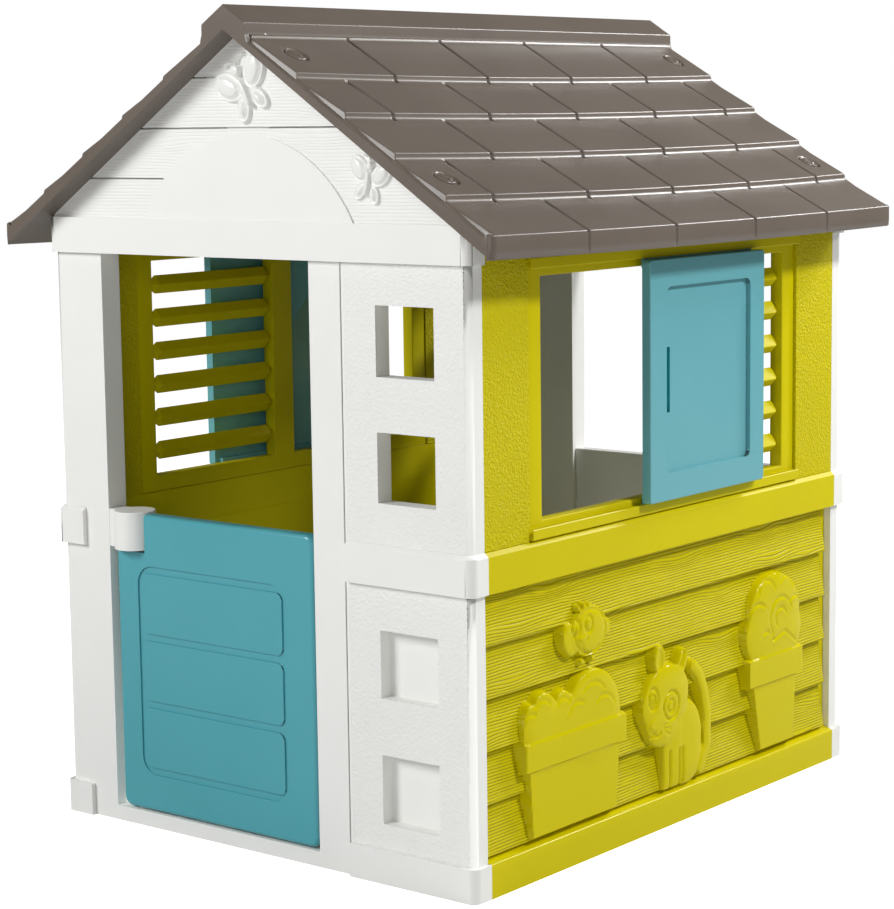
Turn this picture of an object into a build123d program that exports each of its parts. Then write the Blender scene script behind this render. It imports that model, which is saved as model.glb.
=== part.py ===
from build123d import *
import math
import os

# A children's playhouse of hollow plastic mouldings: front and rear walls of frames, panels and
# gables, two side walls with louvred windows, sliding shutters, a half-height door and a roof
# in two halves.  The origin is on the floor under the middle of the house.  +X points to the
# right of the front wall, +Y from the front wall to the rear wall, +Z up.  Millimetres.

# Overall sizes
house_width = 826.0  # outer face to outer face of the side walls
house_depth = 1020.0  # outer face of the front wall to outer face of the rear wall
ridge_height = 1270.0  # floor to the top of the ridge
eave_overhang = 77.0  # side wall face to the eave
gable_overhang = 40.0  # front wall face to the end of the roof
wall_height = 903.0  # floor to the underside of the gables
seam_height = 441.0  # floor to the joint between lower and upper walls

# Walls
wall = 30.0  # thickness of front, rear and side walls
skin = 2.0  # thickness of the plastic around each hollow
corner_radius = 10.0  # outer vertical corners of the front and rear walls
band_proud = 8.0  # how far the bands stand out from the front and rear walls
side_band_proud = 7.0  # how far the bands stand out from the side walls
base_band_top = 51.0
middle_band = 59.0  # height of the band above the seam
band_bevel = 6.0

# Front opening, panels and windows
post_width = 103.0  # post beside the hinges
panel_width = 293.0  # door jamb strip and windowed panel together
jamb_width = 62.0  # smooth strip beside the door
jamb_depth = 38.0  # thickness of the frame round the opening
jamb_rib = 40.0  # width of the thicker rib along the jamb
groove_width = 6.0  # groove between jamb strip and panel
groove_depth = 2.0
threshold_height = 24.0
block_width = 52.0  # corner blocks on the post
small_window_width = 106.0
small_window_margin = 62.0  # window to outer corner
small_windows = ((560.0, 662.0), (741.0, 843.0))  # sill and head heights, open through
blind_windows = ((88.0, 191.0), (275.0, 375.0))  # sill and head heights, closed behind
blind_depth = 21.0

# Side walls
front_post = 107.0
rear_post = 117.0
plank_count = 5
plank_lap = 12.6  # how far each plank's top lies behind its bottom edge
first_plank = 60.0  # bottom edge of the lowest plank
end_strip = 17.0  # plain strip past the planks' ends
relief_proud = 11.0  # how far the moulded plants and animals stand out
pot_lip = 12.0  # how far a pot's rim reaches past its body
pot_foot = 66.0  # floor to the foot of the pots

# Side windows
frame_inset = 5.0  # window frame face behind the wall face
frame_thickness = 23.0
frame_border = 36.0
sill_rise = 27.0  # sill above the middle band
lintel_drop = 24.0  # lintel below the wall height
opening_width = 328.0
mullion = 49.0
slat_count = 6
slat_height = 30.0
slat_depth = 22.0
slat_inset = 3.0  # slat tips behind the frame face
rail_proud = 11.0
rail_height = 16.0
rail_rise = 12.0  # upper rail above the lintel
rail_groove = 6.0
rail_groove_depth = 10.0

# Shutters
shutter_thickness = 15.0
shutter_play = 3.0  # how much narrower than the opening
shutter_gap = 2.0  # shutter edge to rail
shutter_corner = 6.0
tongue_play = 1.0  # tongue to groove, each side
tongue_inset = 10.0  # tongue ends inside the shutter's ends
recess_margin_side = 42.0
recess_margin_end = 44.0
recess_depth = 7.0
recess_corner = 12.0
finger_slot = (19.0, 100.0, 5.5)  # width, height and extra depth
shutter_closed_past = 6.0  # how far a closed shutter overlaps the opening's front edge
shutter_stop = 6.0  # fully open shutter to the end of its rails
right_shutter_shut = 130.0  # how far each shutter is drawn back from fully open
left_shutter_shut = 202.0

# Door
door_thickness = 26.0
door_height = 500.0
door_floor_gap = 3.0
door_post_gap = 14.0
door_latch_gap = 3.0
door_corner = 16.0
door_edge = 7.0
hinge_from_post = 45.0
bracket_radius = 33.0
bracket_gap = 1.5
bracket_height = 60.0
bracket_top = 503.0
bracket_floor_gap = 4.0
bracket_edge = 2.0
bracket_inset = 6.0  # bracket's arm in front of the frame's inner face
screw_offset = 4.0  # screws behind the hinge axis
pin_radius = 6.0
pin_clearance = 0.08
pin_grip = 18.0  # pin length held by the frame or bracket
pin_reach = 20.0  # pin length inside the door
panel_groove = 12.0
panel_groove_depth = 2.5
plate_corner = 12.0  # corners of the door's raised plates
channel_corner = 30.0  # corners of the channel round them
panel_margin = 46.0
panel_bottom = 86.0
panel_top = 419.0
panel_count = 3

# Roof
ridge_thickness = 36.0  # top of the ridge to the underside
eave_rise = 8.0  # underside of the eave above the wall height
eave_thickness = 33.0
course_drop = 15.0  # line of the course tips below the ridge, at the middle
course_count = 5
course_step = 9.0
ridge_cap = 42.0  # half width of the ridge cap
ridge_cap_drop = 27.0
ridge_cap_step = 22.0
roof_seat_gap = 2.0  # side wall top to roof underside
lock_places = (86.0, 359.0)  # distances of the locks from the middle
lock_setback = 20.0  # lock axis behind the gable's front face
lock_head_radius = 18.0
lock_head_sink = 6.0
lock_shank_radius = 8.0
lock_reach = 24.0  # shank length below the roof
lock_disc = 4.0  # thickness of the head
lock_grip = 5.0  # width of the grip bar
lock_play = 0.25

# Gables
gable_band = 55.0
plank_groove = 2.5  # width of the grooves between the gable's planks
plank_groove_depth = 4.0
plank_grooves = ((115.0, -330.0, -168.0), (190.0, -300.0, 300.0), (264.0, -130.0, -55.0))  # height, left, right
arch_radius = 236.0
arch_centre = 848.0
arch_proud = 3.0
butterfly_proud = 14.0
butterflies = ((10.0, 1147.0, 1.0, 28.0), (240.0, 1016.0, 0.72, -12.0))  # x, z, size, tilt

# Hidden pegs
peg_radius = 5.0
peg_length = 36.0
lower_peg_heights = (120.0, 330.0)
upper_peg_heights = (600.0, 800.0)
stack_peg_from_end = 45.0
ridge_peg_count = 3
ridge_peg_from_gable = 60.0
infill_peg_heights = (120.0, 320.0)
screw_radius = 2.4
screw_head_radius = 4.5
screw_head = 3.0
screw_length = 26.0

# Places that follow from the sizes above
middle_band_top = seam_height + middle_band
underside_ridge = ridge_height - ridge_thickness
underside_eave = wall_height + eave_rise
eave_tip = underside_eave + eave_thickness
course_ridge = ridge_height - course_drop
gable_band_top = wall_height + gable_band
sill_height = middle_band_top + sill_rise
lintel_height = wall_height - lintel_drop
half_width = house_width / 2
half_depth = house_depth / 2
front_y = -half_depth
inner_y = front_y + wall
side_inner = half_width - wall
peg_line = side_inner + (wall - plank_lap) / 2
eave_x = half_width + eave_overhang
roof_end = half_depth + gable_overhang
opening_left = -half_width + post_width
opening_right = half_width - panel_width
jamb_right = opening_right + jamb_width
side_end = half_depth - wall
frame_front = -side_end + front_post
frame_rear = side_end - rear_post
frame_face = half_width - frame_inset
frame_back = frame_face - frame_thickness
opening_front = frame_front + frame_border
opening_rear = opening_front + opening_width
louvre_front = opening_rear + mullion
louvre_rear = frame_rear - frame_border
roof_slope = (underside_ridge - underside_eave) / eave_x
side_top = underside_ridge - roof_slope * half_width - roof_seat_gap
hinge_x = opening_left + hinge_from_post
hinge_y = front_y + door_thickness / 2
shutter_width = opening_width - shutter_play
closed_front = opening_front - shutter_closed_past
open_front = frame_rear - shutter_stop - shutter_width
door_left = opening_left + door_post_gap
door_right = opening_right - door_latch_gap
groove_x = frame_face + rail_proud / 2 + 0.5


def block(x0, x1, y0, y1, z0, z1):
    """A box between two corners."""
    return Pos((x0 + x1) / 2, (y0 + y1) / 2, (z0 + z1) / 2) * Box(x1 - x0, y1 - y0, z1 - z0)


def hollow(x0, x1, y0, y1, z0, z1):
    """The space inside a box whose plastic is one skin thick."""
    return block(x0 + skin, x1 - skin, y0 + skin, y1 - skin, z0 + skin, z1 - skin)


def corner_hollow(x0, x1, z0, z1, corner_x):
    """The space inside a length of front wall, rounded like its outer corner."""
    space = hollow(x0, x1, front_y, inner_y, z0, z1)
    inset = corner_x - math.copysign(skin, corner_x)
    return fillet(upright_edges(space, inset, front_y + skin), corner_radius - skin)


def rod(x, y, z, radius, length, direction):
    """A round bar centred on a point, along one axis."""
    turns = {"X": (0, 90, 0), "Y": (90, 0, 0), "Z": (0, 0, 0)}
    return Pos(x, y, z) * Rot(*turns[direction]) * Cylinder(radius, length)


def front_prism(outline, y0, y1):
    """A shape drawn in X and Z, from one Y to another."""
    return Pos(0, y0, 0) * extrude(Plane.XZ * outline, amount=y1 - y0, dir=(0, 1, 0))


def upright_edges(shape, x, y):
    """Vertical edges that stand at one place in the plan."""
    edges = shape.edges().filter_by(Axis.Z)
    return [e for e in edges if abs(e.center().X - x) < 0.01 and abs(e.center().Y - y) < 0.01]


def turned(shape):
    """The same moulding on the other side of the house."""
    return Rot(0, 0, 180) * shape


def corner_wall(x0, x1, z0, z1, corner_x, depth=wall):
    """A length of front wall with its outer vertical corner rounded."""
    shape = block(x0, x1, front_y, front_y + depth, z0, z1)
    return fillet(upright_edges(shape, corner_x, front_y), corner_radius)


def corner_band(x0, x1, z0, z1, corner_x, bevel):
    """A raised band on the front wall that turns the corner."""
    face = front_y - band_proud
    shape = block(x0, x1, face, inner_y, z0, z1)
    shape = fillet(upright_edges(shape, corner_x, face), corner_radius + side_band_proud / 2)
    inner_end = x0 if corner_x > 0 else x1
    rim = [
        e
        for e in shape.edges().group_by(Axis.Z)[-1]
        if e.center().Y < inner_y - 1 and abs(e.center().X - inner_end) > 1
    ]
    return chamfer(rim, bevel) if bevel else shape


# Front and rear walls -------------------------------------------------------------------------


def opening_frame():
    """Full-height frame of the front opening: hinge post, threshold and jamb strip."""
    post = corner_wall(-half_width, opening_left, 0, wall_height, -half_width)
    post += block(-side_inner + 1, opening_left, inner_y, front_y + jamb_depth, 0, wall_height)
    post -= corner_hollow(-half_width, opening_left, 0, wall_height, -half_width)
    jamb = block(opening_right, jamb_right, front_y, inner_y, 0, wall_height)
    rib_end = opening_right + jamb_rib
    jamb += block(opening_right, rib_end, inner_y, front_y + jamb_depth, 0, wall_height)
    jamb -= hollow(opening_right, jamb_right, front_y, inner_y, 0, wall_height)
    threshold = block(opening_left, opening_right, front_y, front_y + jamb_depth, 0, threshold_height)
    shape = post + jamb + threshold
    block_x = -half_width + block_width
    edge = -half_width - side_band_proud
    low = corner_band(edge, block_x, 0, base_band_top, edge, 0)
    mid = corner_band(edge, block_x, seam_height, middle_band_top, edge, band_bevel)
    inside = corner_hollow(-half_width, opening_left, 0, wall_height, -half_width)
    shape += (low - inside) + (mid - inside)
    return shape - half_groove(-1)


def half_groove(side):
    """Half of the groove between jamb strip and panel, on one side of the joint."""
    far = jamb_right + side * groove_width / 2
    return block(min(jamb_right, far), max(jamb_right, far), front_y, front_y + groove_depth, 0, wall_height)


def window_x():
    """Left and right edge of the small windows."""
    right = half_width - small_window_margin
    return right - small_window_width, right


def lower_panel():
    """Lower front panel with its blind windows, base band and room under the middle band."""
    shape = corner_wall(jamb_right, half_width, 0, seam_height, half_width)
    space = corner_hollow(jamb_right, half_width, 0, seam_height, half_width)
    left, right = window_x()
    for low, high in blind_windows:
        recess = block(left, right, front_y, front_y + blind_depth, low, high)
        shape -= recess
        space -= block(left - skin, right + skin, front_y, inner_y, low - skin, high + skin)
    edge = half_width + side_band_proud
    band = corner_band(jamb_right + groove_width / 2, edge, 0, base_band_top, edge, 0)
    return shape + (band - space) - space - half_groove(1)


def upper_panel():
    """Upper front panel with two open windows and the middle band."""
    shape = corner_wall(jamb_right, half_width, seam_height, wall_height, half_width)
    space = corner_hollow(jamb_right, half_width, seam_height, wall_height, half_width)
    left, right = window_x()
    for low, high in small_windows:
        shape -= block(left, right, front_y, inner_y, low, high)
        space -= block(left - skin, right + skin, front_y, inner_y, low - skin, high + skin)
    edge = half_width + side_band_proud
    start = jamb_right + groove_width / 2
    band = corner_band(start, edge, seam_height, middle_band_top, edge, band_bevel)
    return shape + (band - space) - space - half_groove(1)


def under_roof(grow=0.0):
    """Everything below the underside of the roof."""
    reach = eave_x + roof_end
    low = underside_ridge - roof_slope * reach
    outline = Polygon((-reach, low - grow), (reach, low - grow), (0, underside_ridge - grow), align=None)
    return front_prism(outline, -roof_end, roof_end)


def ellipse_prism(x, z, rx, rz, tilt, y0, y1):
    """An upright elliptical slab standing out of the front."""
    return front_prism(Pos(x, z) * Rot(0, 0, tilt) * Ellipse(rx, rz), y0, y1)


def butterfly(x, z, size, tilt):
    """A moulded butterfly: two upper wings, two lower wings and a body."""
    face = front_y - butterfly_proud
    lobes = ((-30, 18, 26, 30, 35), (30, 18, 26, 30, -35), (-20, -20, 18, 22, -30), (20, -20, 18, 22, 30))
    shape = ellipse_prism(x, z, 9 * size, 40 * size, tilt, face, front_y)
    turn = math.radians(tilt)
    for dx, dz, rx, rz, lean in lobes:
        px = x + size * (dx * math.cos(turn) - dz * math.sin(turn))
        pz = z + size * (dx * math.sin(turn) + dz * math.cos(turn))
        shape += ellipse_prism(px, pz, rx * size, rz * size, tilt + lean, face, front_y)
    return shape


def gable():
    """Triangular gable with its band, arch panel and two butterflies."""
    panel = block(-half_width, half_width, front_y, inner_y, wall_height, ridge_height)
    edge = half_width + side_band_proud - 1
    band = block(-edge, edge, front_y - band_proud, inner_y, wall_height, gable_band_top)
    for side in (-edge, edge):
        band = fillet(upright_edges(band, side, front_y - band_proud), corner_radius + side_band_proud / 2)
    arch = ellipse_prism(0, arch_centre, arch_radius, arch_radius, 0, front_y - arch_proud, front_y)
    arch &= block(-half_width, half_width, front_y - band_proud, front_y, gable_band_top, ridge_height)
    shape = panel + band + arch
    for height, left, right in plank_grooves:
        middle = wall_height + height
        low = middle - plank_groove / 2
        shape -= block(left, right, front_y, front_y + plank_groove_depth, low, low + plank_groove)
    for place in butterflies:
        shape += butterfly(*place)
    shape &= under_roof()
    front_skin = front_y + skin + plank_groove_depth
    side = half_width - skin
    space = block(-side, side, front_skin, inner_y - skin, wall_height + skin, ridge_height)
    return shape - (space & under_roof(skin / math.cos(math.atan(roof_slope))))


def infill():
    """Closed panel that fills the lower half of the rear opening, drawn at the front."""
    ends = (opening_left, opening_right, front_y, inner_y, threshold_height)
    shape = block(*ends, middle_band_top)
    rim = [e for e in shape.edges().group_by(Axis.Z)[-1] if abs(e.center().Y - front_y) < 0.01]
    return chamfer(rim, band_bevel) - hollow(*ends, middle_band_top - band_bevel)


# Side walls -----------------------------------------------------------------------------------


def side_prism(outline, x0, x1):
    """A shape drawn in Y and Z, from one X to another."""
    return Pos(x0, 0, 0) * extrude(Plane.YZ * outline, amount=x1 - x0, dir=(1, 0, 0))


def flat_shape(points, inset):
    """A closed outline in Y and Z, drawn smaller by the inset."""
    outline = Polygon(*points, align=None)
    return offset(outline, -inset, kind=Kind.INTERSECTION) if inset else outline


def oval(y, z, ry, rz, inset):
    """An ellipse in Y and Z, drawn smaller by the inset."""
    return Pos(y, z) * Ellipse(ry - inset, rz - inset)


def pot_outline(rim_front, rim_rear, foot_front, foot_rear, rim_low, rim_high, foot, inset):
    """A plant pot: a straight rim over a body that narrows to its foot."""
    points = (
        (rim_front, rim_high),
        (rim_front, rim_low),
        (rim_front + pot_lip, rim_low),
        (foot_front, foot),
        (foot_rear, foot),
        (rim_rear - pot_lip, rim_low),
        (rim_rear, rim_low),
        (rim_rear, rim_high),
    )
    return flat_shape(points, inset)


def plant_and_animal_outlines(inset):
    """Outlines of the moulded planter, its bush, the bird, the cat, the tall pot and its tree."""
    front = -side_end
    rear = side_end
    planter = pot_outline(front + 66, front + 312, front + 98, front + 305, 172, 211, pot_foot, inset)
    bush = oval(front + 232, 218, 78, 76, inset) + oval(front + 118, 216, 52, 66, inset)
    bird = oval(front + 227, 352, 48, 40, inset) + oval(front + 180, 343, 24, 28, inset)
    cat = oval(-54, 200, 64, 62, inset) + oval(2, 140, 58, 78, inset) + oval(56, 170, 22, 82, inset)
    pot = pot_outline(rear - 291, rear - 129, rear - 239, rear - 141, 182, 222, pot_foot, inset)
    tree = oval(rear - 207, 272, 88, 86, inset)
    return (planter, bush, bird, cat, pot, tree)


def cat_ears():
    """The cat's two ears."""
    front_ear = flat_shape(((-80, 252), (-62, 298), (-42, 252)), 0)
    rear_ear = flat_shape(((-36, 246), (-6, 284), (8, 264), (8, 220)), 0)
    return front_ear, rear_ear


def lower_side_wall():
    """Lower side wall: lapped planks, base band and moulded reliefs, hollow inside."""
    plank_pitch = (seam_height - first_plank) / plank_count
    back = half_width - plank_lap
    points = [(side_inner, 0), (half_width + side_band_proud, 0)]
    points += [(half_width + side_band_proud, base_band_top), (back, first_plank)]
    for number in range(plank_count):
        low = first_plank + number * plank_pitch
        points += [(half_width, low), (back, low + plank_pitch)]
    points += [(side_inner, seam_height)]
    profile = Polygon(*points, align=None)
    planks = front_prism(profile, -side_end, side_end - end_strip)
    ends = block(side_inner, back, -side_end, side_end, 0, seam_height)
    base = block(side_inner, half_width + side_band_proud, -side_end, side_end, 0, base_band_top)
    shape = planks + ends + base
    inside = offset(profile, -skin, kind=Kind.INTERSECTION)
    space = front_prism(inside, -side_end + skin, side_end - end_strip - skin)
    outer = half_width + relief_proud
    for outline in plant_and_animal_outlines(0) + cat_ears():
        shape += side_prism(outline, peg_line, outer)
    for outline in plant_and_animal_outlines(skin):
        space += side_prism(outline, back - 2 * skin, outer - skin)
    return shape - space


def upper_side_wall():
    """Upper side wall: middle band and two posts either side of the window frame."""
    edge = half_width + side_band_proud
    band = block(side_inner, edge, -side_end, side_end, seam_height, middle_band_top)
    rim = [e for e in band.edges().group_by(Axis.Z)[-1] if abs(e.center().X - edge) < 0.01]
    band = chamfer(rim, band_bevel)
    shape = band + block(side_inner, half_width, -side_end, frame_front, seam_height, side_top)
    shape += block(side_inner, half_width, frame_rear, side_end, seam_height, side_top)
    shape -= hollow(side_inner, half_width, -side_end, side_end, seam_height, middle_band_top)
    shape -= hollow(side_inner, half_width, -side_end, frame_front, middle_band_top, side_top)
    return shape - hollow(side_inner, half_width, frame_rear, side_end, middle_band_top, side_top)


def slat_outline():
    """Cross-section of a slat in X and Z, bottom edge at zero, outer tip at the frame's face."""
    tip = frame_face - slat_inset
    inner = tip - slat_depth
    return Polygon(
        (tip, slat_height * 0.1),
        (tip - slat_depth * 0.55, slat_height),
        (inner, slat_height * 0.28),
        (inner + slat_depth * 0.25, 0),
        (tip - slat_depth * 0.2, 0),
        align=None,
    )


def window_frame():
    """Window frame with an opening, louvre slats and the two shutter rails."""
    shape = block(frame_back, frame_face, frame_front, frame_rear, middle_band_top, side_top)
    shape -= block(frame_back, frame_face, opening_front, opening_rear, sill_height, lintel_height)
    shape -= block(frame_back, frame_face, louvre_front, louvre_rear, sill_height, lintel_height)
    for y0, y1, z0, z1 in (
        (frame_front, frame_rear, lintel_height, side_top),
        (frame_front, frame_rear, middle_band_top, sill_height),
        (frame_front, opening_front, sill_height, lintel_height),
        (opening_rear, louvre_front, sill_height, lintel_height),
        (louvre_rear, frame_rear, sill_height, lintel_height),
    ):
        shape -= hollow(frame_back, frame_face, y0, y1, z0, z1)
    gap = (lintel_height - sill_height - slat_count * slat_height) / (slat_count + 1)
    slat = front_prism(slat_outline(), louvre_front, louvre_rear)
    for number in range(slat_count):
        height = sill_height + gap + number * (slat_height + gap)
        shape += Pos(0, 0, height) * slat
    for low, mouth in rail_levels():
        rail = block(frame_face, frame_face + rail_proud, frame_front, frame_rear, low, low + rail_height)
        groove_low = min(mouth, mouth + (rail_groove_depth if low > sill_height else -rail_groove_depth))
        rail -= block(
            groove_x - rail_groove / 2,
            groove_x + rail_groove / 2,
            closed_front + tongue_inset - tongue_play,
            open_front + shutter_width - tongue_inset + tongue_play,
            groove_low,
            groove_low + rail_groove_depth,
        )
        shape += rail
    return shape


def rail_levels():
    """Bottom of each rail with the height of its groove's mouth."""
    low = middle_band_top + shutter_gap
    high = lintel_height + rail_rise
    return ((low, low + rail_height), (high, high))


def shutter(front):
    """Shutter with a recessed panel, a finger slot and the tongues that run in the rails."""
    rear = front + shutter_width
    (low_rail, low_mouth), (high_rail, high_mouth) = rail_levels()
    bottom = low_mouth + shutter_gap
    top = high_mouth - shutter_gap
    back = half_width + side_band_proud
    face = back + shutter_thickness
    shape = block(back, face, front, rear, bottom, top)
    corners = shape.edges().filter_by(Axis.X)
    shape = fillet(corners, shutter_corner)
    shape = fillet(shape.faces().sort_by(Axis.X)[-1].edges(), shutter_corner / 3)
    recess = block(
        face - recess_depth,
        face,
        front + recess_margin_end,
        rear - recess_margin_side,
        bottom + recess_margin_side,
        top - recess_margin_side,
    )
    recess = fillet(recess.edges().filter_by(Axis.X), recess_corner)
    shape -= recess
    slot_width, slot_height, slot_extra = finger_slot
    slot_front = front + recess_margin_end
    middle = (bottom + top) / 2
    slot = block(
        face - recess_depth - slot_extra,
        face,
        slot_front,
        slot_front + slot_width,
        middle - slot_height / 2,
        middle + slot_height / 2,
    )
    shape -= slot
    tongue = rail_groove / 2 - tongue_play
    for mouth, way in ((low_mouth, -1), (high_mouth, 1)):
        tip = mouth + way * (rail_groove_depth - tongue_play)
        root = mouth - way * (shutter_gap + shutter_corner + 6)
        ends = (front + tongue_inset, rear - tongue_inset)
        shape += block(groove_x - tongue, groove_x + tongue, *ends, min(tip, root), max(tip, root))
        web = mouth - way * shutter_gap
        shape += block(groove_x - tongue, back, *ends, min(web, root), max(web, root))
    return shape


# Door -----------------------------------------------------------------------------------------


def door():
    """Half-height door with three framed panels, a notch for the bracket and two pin holes."""
    left = door_left
    right = door_right
    bottom = threshold_height + door_floor_gap
    shape = block(left, right, front_y, front_y + door_thickness, bottom, door_height)
    shape = fillet(shape.edges().filter_by(Axis.Y), door_corner)
    shape = fillet(shape.faces().sort_by(Axis.Y)[0].edges(), door_edge)
    shape = fillet(shape.faces().sort_by(Axis.Y)[-1].edges(), door_edge)
    notch_floor = bracket_top - bracket_height - bracket_floor_gap
    reach = bracket_radius + bracket_gap
    notch = rod(hinge_x, hinge_y, (notch_floor + ridge_height) / 2, reach, ridge_height - notch_floor, "Z")
    notch += block(left - 1, hinge_x, front_y - reach, front_y + 2 * reach, notch_floor, ridge_height)
    shape -= notch
    clear = hinge_x + reach + skin
    shape -= block(
        clear,
        right - skin,
        front_y + skin + panel_groove_depth,
        front_y + door_thickness - skin,
        bottom + skin + door_corner / 2,
        door_height - skin - door_corner / 2,
    )
    shape = framed_panels(shape, left + panel_margin, right - panel_margin - plate_corner)
    hole = pin_radius + pin_clearance
    depth = pin_reach + pin_clearance
    shape -= rod(hinge_x, hinge_y, bottom + depth / 2, hole, depth, "Z")
    return shape - rod(hinge_x, hinge_y, notch_floor - depth / 2, hole, depth, "Z")


def framed_panels(shape, left, right):
    """Cuts the shallow channel round the door's panels."""
    height = panel_top - panel_bottom
    channel = block(left, right, front_y, front_y + panel_groove_depth, panel_bottom, panel_top)
    channel = fillet(channel.edges().filter_by(Axis.Y), channel_corner)
    each = (height - panel_groove * (panel_count + 1)) / panel_count
    for number in range(panel_count):
        low = panel_bottom + panel_groove + number * (each + panel_groove)
        plate = block(
            left + panel_groove / 2,
            right - panel_groove / 2,
            front_y,
            front_y + panel_groove_depth,
            low,
            low + each,
        )
        channel -= fillet(plate.edges().filter_by(Axis.Y), plate_corner)
    return shape - channel


def hinge_bracket():
    """Bracket on the post that carries the door's upper pin."""
    low = bracket_top - bracket_height
    shape = rod(hinge_x, hinge_y, bracket_top - bracket_height / 2, bracket_radius, bracket_height, "Z")
    shape += block(opening_left, hinge_x, front_y, front_y + jamb_depth - bracket_inset, low, bracket_top)
    shape = fillet(shape.faces().sort_by(Axis.Z)[-1].edges(), bracket_edge)
    for level in bracket_screw_levels():
        shape -= rod(opening_left, hinge_y + screw_offset, level, screw_radius, screw_length, "X")
    return shape - rod(hinge_x, hinge_y, low + pin_grip / 2, pin_radius, pin_grip, "Z")


def bracket_screw_levels():
    """Heights of the two screws that hold the bracket."""
    return (bracket_top - bracket_height * 0.75, bracket_top - bracket_height * 0.25)


def hinge_pins():
    """Lower pin in the threshold and upper pin in the bracket."""
    length = pin_grip + door_floor_gap + pin_reach
    low = rod(hinge_x, hinge_y, threshold_height - pin_grip + length / 2, pin_radius, length, "Z")
    start = bracket_top - bracket_height + pin_grip
    length = pin_grip + bracket_floor_gap + pin_reach
    return low, rod(hinge_x, hinge_y, start - length / 2, pin_radius, length, "Z")


def bracket_screws():
    """Screws driven sideways through the post into the bracket."""
    screws = []
    for level in bracket_screw_levels():
        shank = rod(opening_left, hinge_y + screw_offset, level, screw_radius, screw_length, "X")
        head_x = opening_left - screw_length / 2 - screw_head / 2
        screws.append(shank + rod(head_x, hinge_y + screw_offset, level, screw_head_radius, screw_head, "X"))
    return screws


# Roof -----------------------------------------------------------------------------------------


def roof_outline():
    """Cross-section of the right roof half: ridge cap, stepped courses, eave and underside."""
    start = ridge_cap + 2
    pitch = (eave_x - start) / course_count
    fall = (course_ridge - eave_tip) / eave_x
    points = [(eave_x, underside_eave), (0, underside_ridge)]
    points += [(0, ridge_height), (ridge_cap, ridge_height - ridge_cap_drop)]
    points += [(start, ridge_height - ridge_cap_drop - ridge_cap_step)]
    for number in range(1, course_count + 1):
        x = start + number * pitch
        tip = course_ridge - fall * x
        points.append((x, tip))
        if number < course_count:
            points.append((x + 1, tip - course_step))
    return Polygon(*points, align=None)


def lock_planes():
    """Where each lock goes through the right roof half, seen square to the underside."""
    angle = math.degrees(math.atan(roof_slope))
    places = []
    for x in lock_places:
        for y in (front_y + lock_setback, half_depth - lock_setback):
            places.append(Pos(x, y, underside_ridge - roof_slope * x) * Rot(0, angle, 0))
    return places


def lock_head_level(x):
    """Height of a lock's head above the underside, measured square to it."""
    start = ridge_cap + 2
    pitch = (eave_x - start) / course_count
    fall = (course_ridge - eave_tip) / eave_x
    course = math.ceil((x - start) / pitch)
    tip_x = start + course * pitch
    top = course_ridge - fall * tip_x
    rise = (fall * pitch - course_step) / pitch
    surface = top + (tip_x - x) * rise
    return (surface - (underside_ridge - roof_slope * x)) * math.cos(math.atan(roof_slope))


def roof_half():
    """Right roof half, hollow, with the holes for its locks."""
    outline = roof_outline()
    inside = offset(outline, -skin, kind=Kind.INTERSECTION)
    shape = front_prism(outline, -roof_end, roof_end)
    shape -= front_prism(inside, -roof_end + skin, roof_end - skin)
    for place, x in zip(lock_planes(), lock_xs()):
        head = lock_head_level(x) - lock_head_sink
        shape -= place * Pos(0, 0, head + 25) * Cylinder(lock_head_radius, 50)
        shape -= place * Cylinder(lock_shank_radius, 4 * lock_head_radius)
        sleeve = Cylinder(lock_shank_radius + skin, head) - Cylinder(lock_shank_radius, head)
        shape += place * Pos(0, 0, head / 2) * sleeve
    for y in ridge_peg_ys():
        shape -= rod(0, y, ridge_peg_z(), peg_radius, peg_length, "X")
    return shape


def lock_xs():
    """The X of each lock, in the order of the planes."""
    return [x for x in lock_places for _ in range(2)]


def ridge_peg_ys():
    """Places of the pegs that join the two roof halves."""
    span = half_depth - wall - ridge_peg_from_gable
    return [-span + 2 * span * number / (ridge_peg_count - 1) for number in range(ridge_peg_count)]


def ridge_peg_z():
    return underside_ridge + ridge_thickness * 0.45


def roof_locks():
    """Quarter-turn locks: a round head with a grip bar and a shank into the gable."""
    locks = []
    for place, x in zip(lock_planes(), lock_xs()):
        head = lock_head_level(x) - lock_head_sink
        disc = Pos(0, 0, head + lock_disc / 2) * Cylinder(lock_head_radius - 2 * lock_play, lock_disc)
        grip = Pos(0, 0, head + 1.25 * lock_disc) * Box(lock_head_radius * 1.3, lock_grip, lock_disc)
        shank = Pos(0, 0, (head - lock_reach) / 2) * Cylinder(lock_shank_radius - lock_play, head + lock_reach)
        locks.append(place * (disc + grip + shank))
    return locks + [turned(lock) for lock in locks]


# Pegs that join the walls ---------------------------------------------------------------------


def corner_pegs(heights):
    """Pegs along Y where each side wall butts against the front and rear walls."""
    pegs = []
    for height in heights:
        for x in (-peg_line, peg_line):
            for y in (-side_end, side_end):
                pegs.append(rod(x, y, height, peg_radius, peg_length, "Y"))
    return pegs


def stack_peg_places():
    """Plan places of the pegs between lower and upper walls."""
    end = side_end - stack_peg_from_end
    sides = [(x, y) for x in (-peg_line, peg_line) for y in (-end, end)]
    panel_x = half_width - small_window_margin / 2
    panel_y = front_y + wall / 2
    return sides + [(panel_x, panel_y), (-panel_x, -panel_y)]


def stack_pegs():
    return [rod(x, y, seam_height, peg_radius - 1, peg_length, "Z") for x, y in stack_peg_places()]


def gable_pegs():
    """Pegs between the gables and the walls below them."""
    x = half_width - small_window_margin / 2
    y = front_y + wall / 2
    return [rod(px, py, wall_height, peg_radius, peg_length, "Z") for px in (-x, x) for py in (y, -y)]


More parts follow.
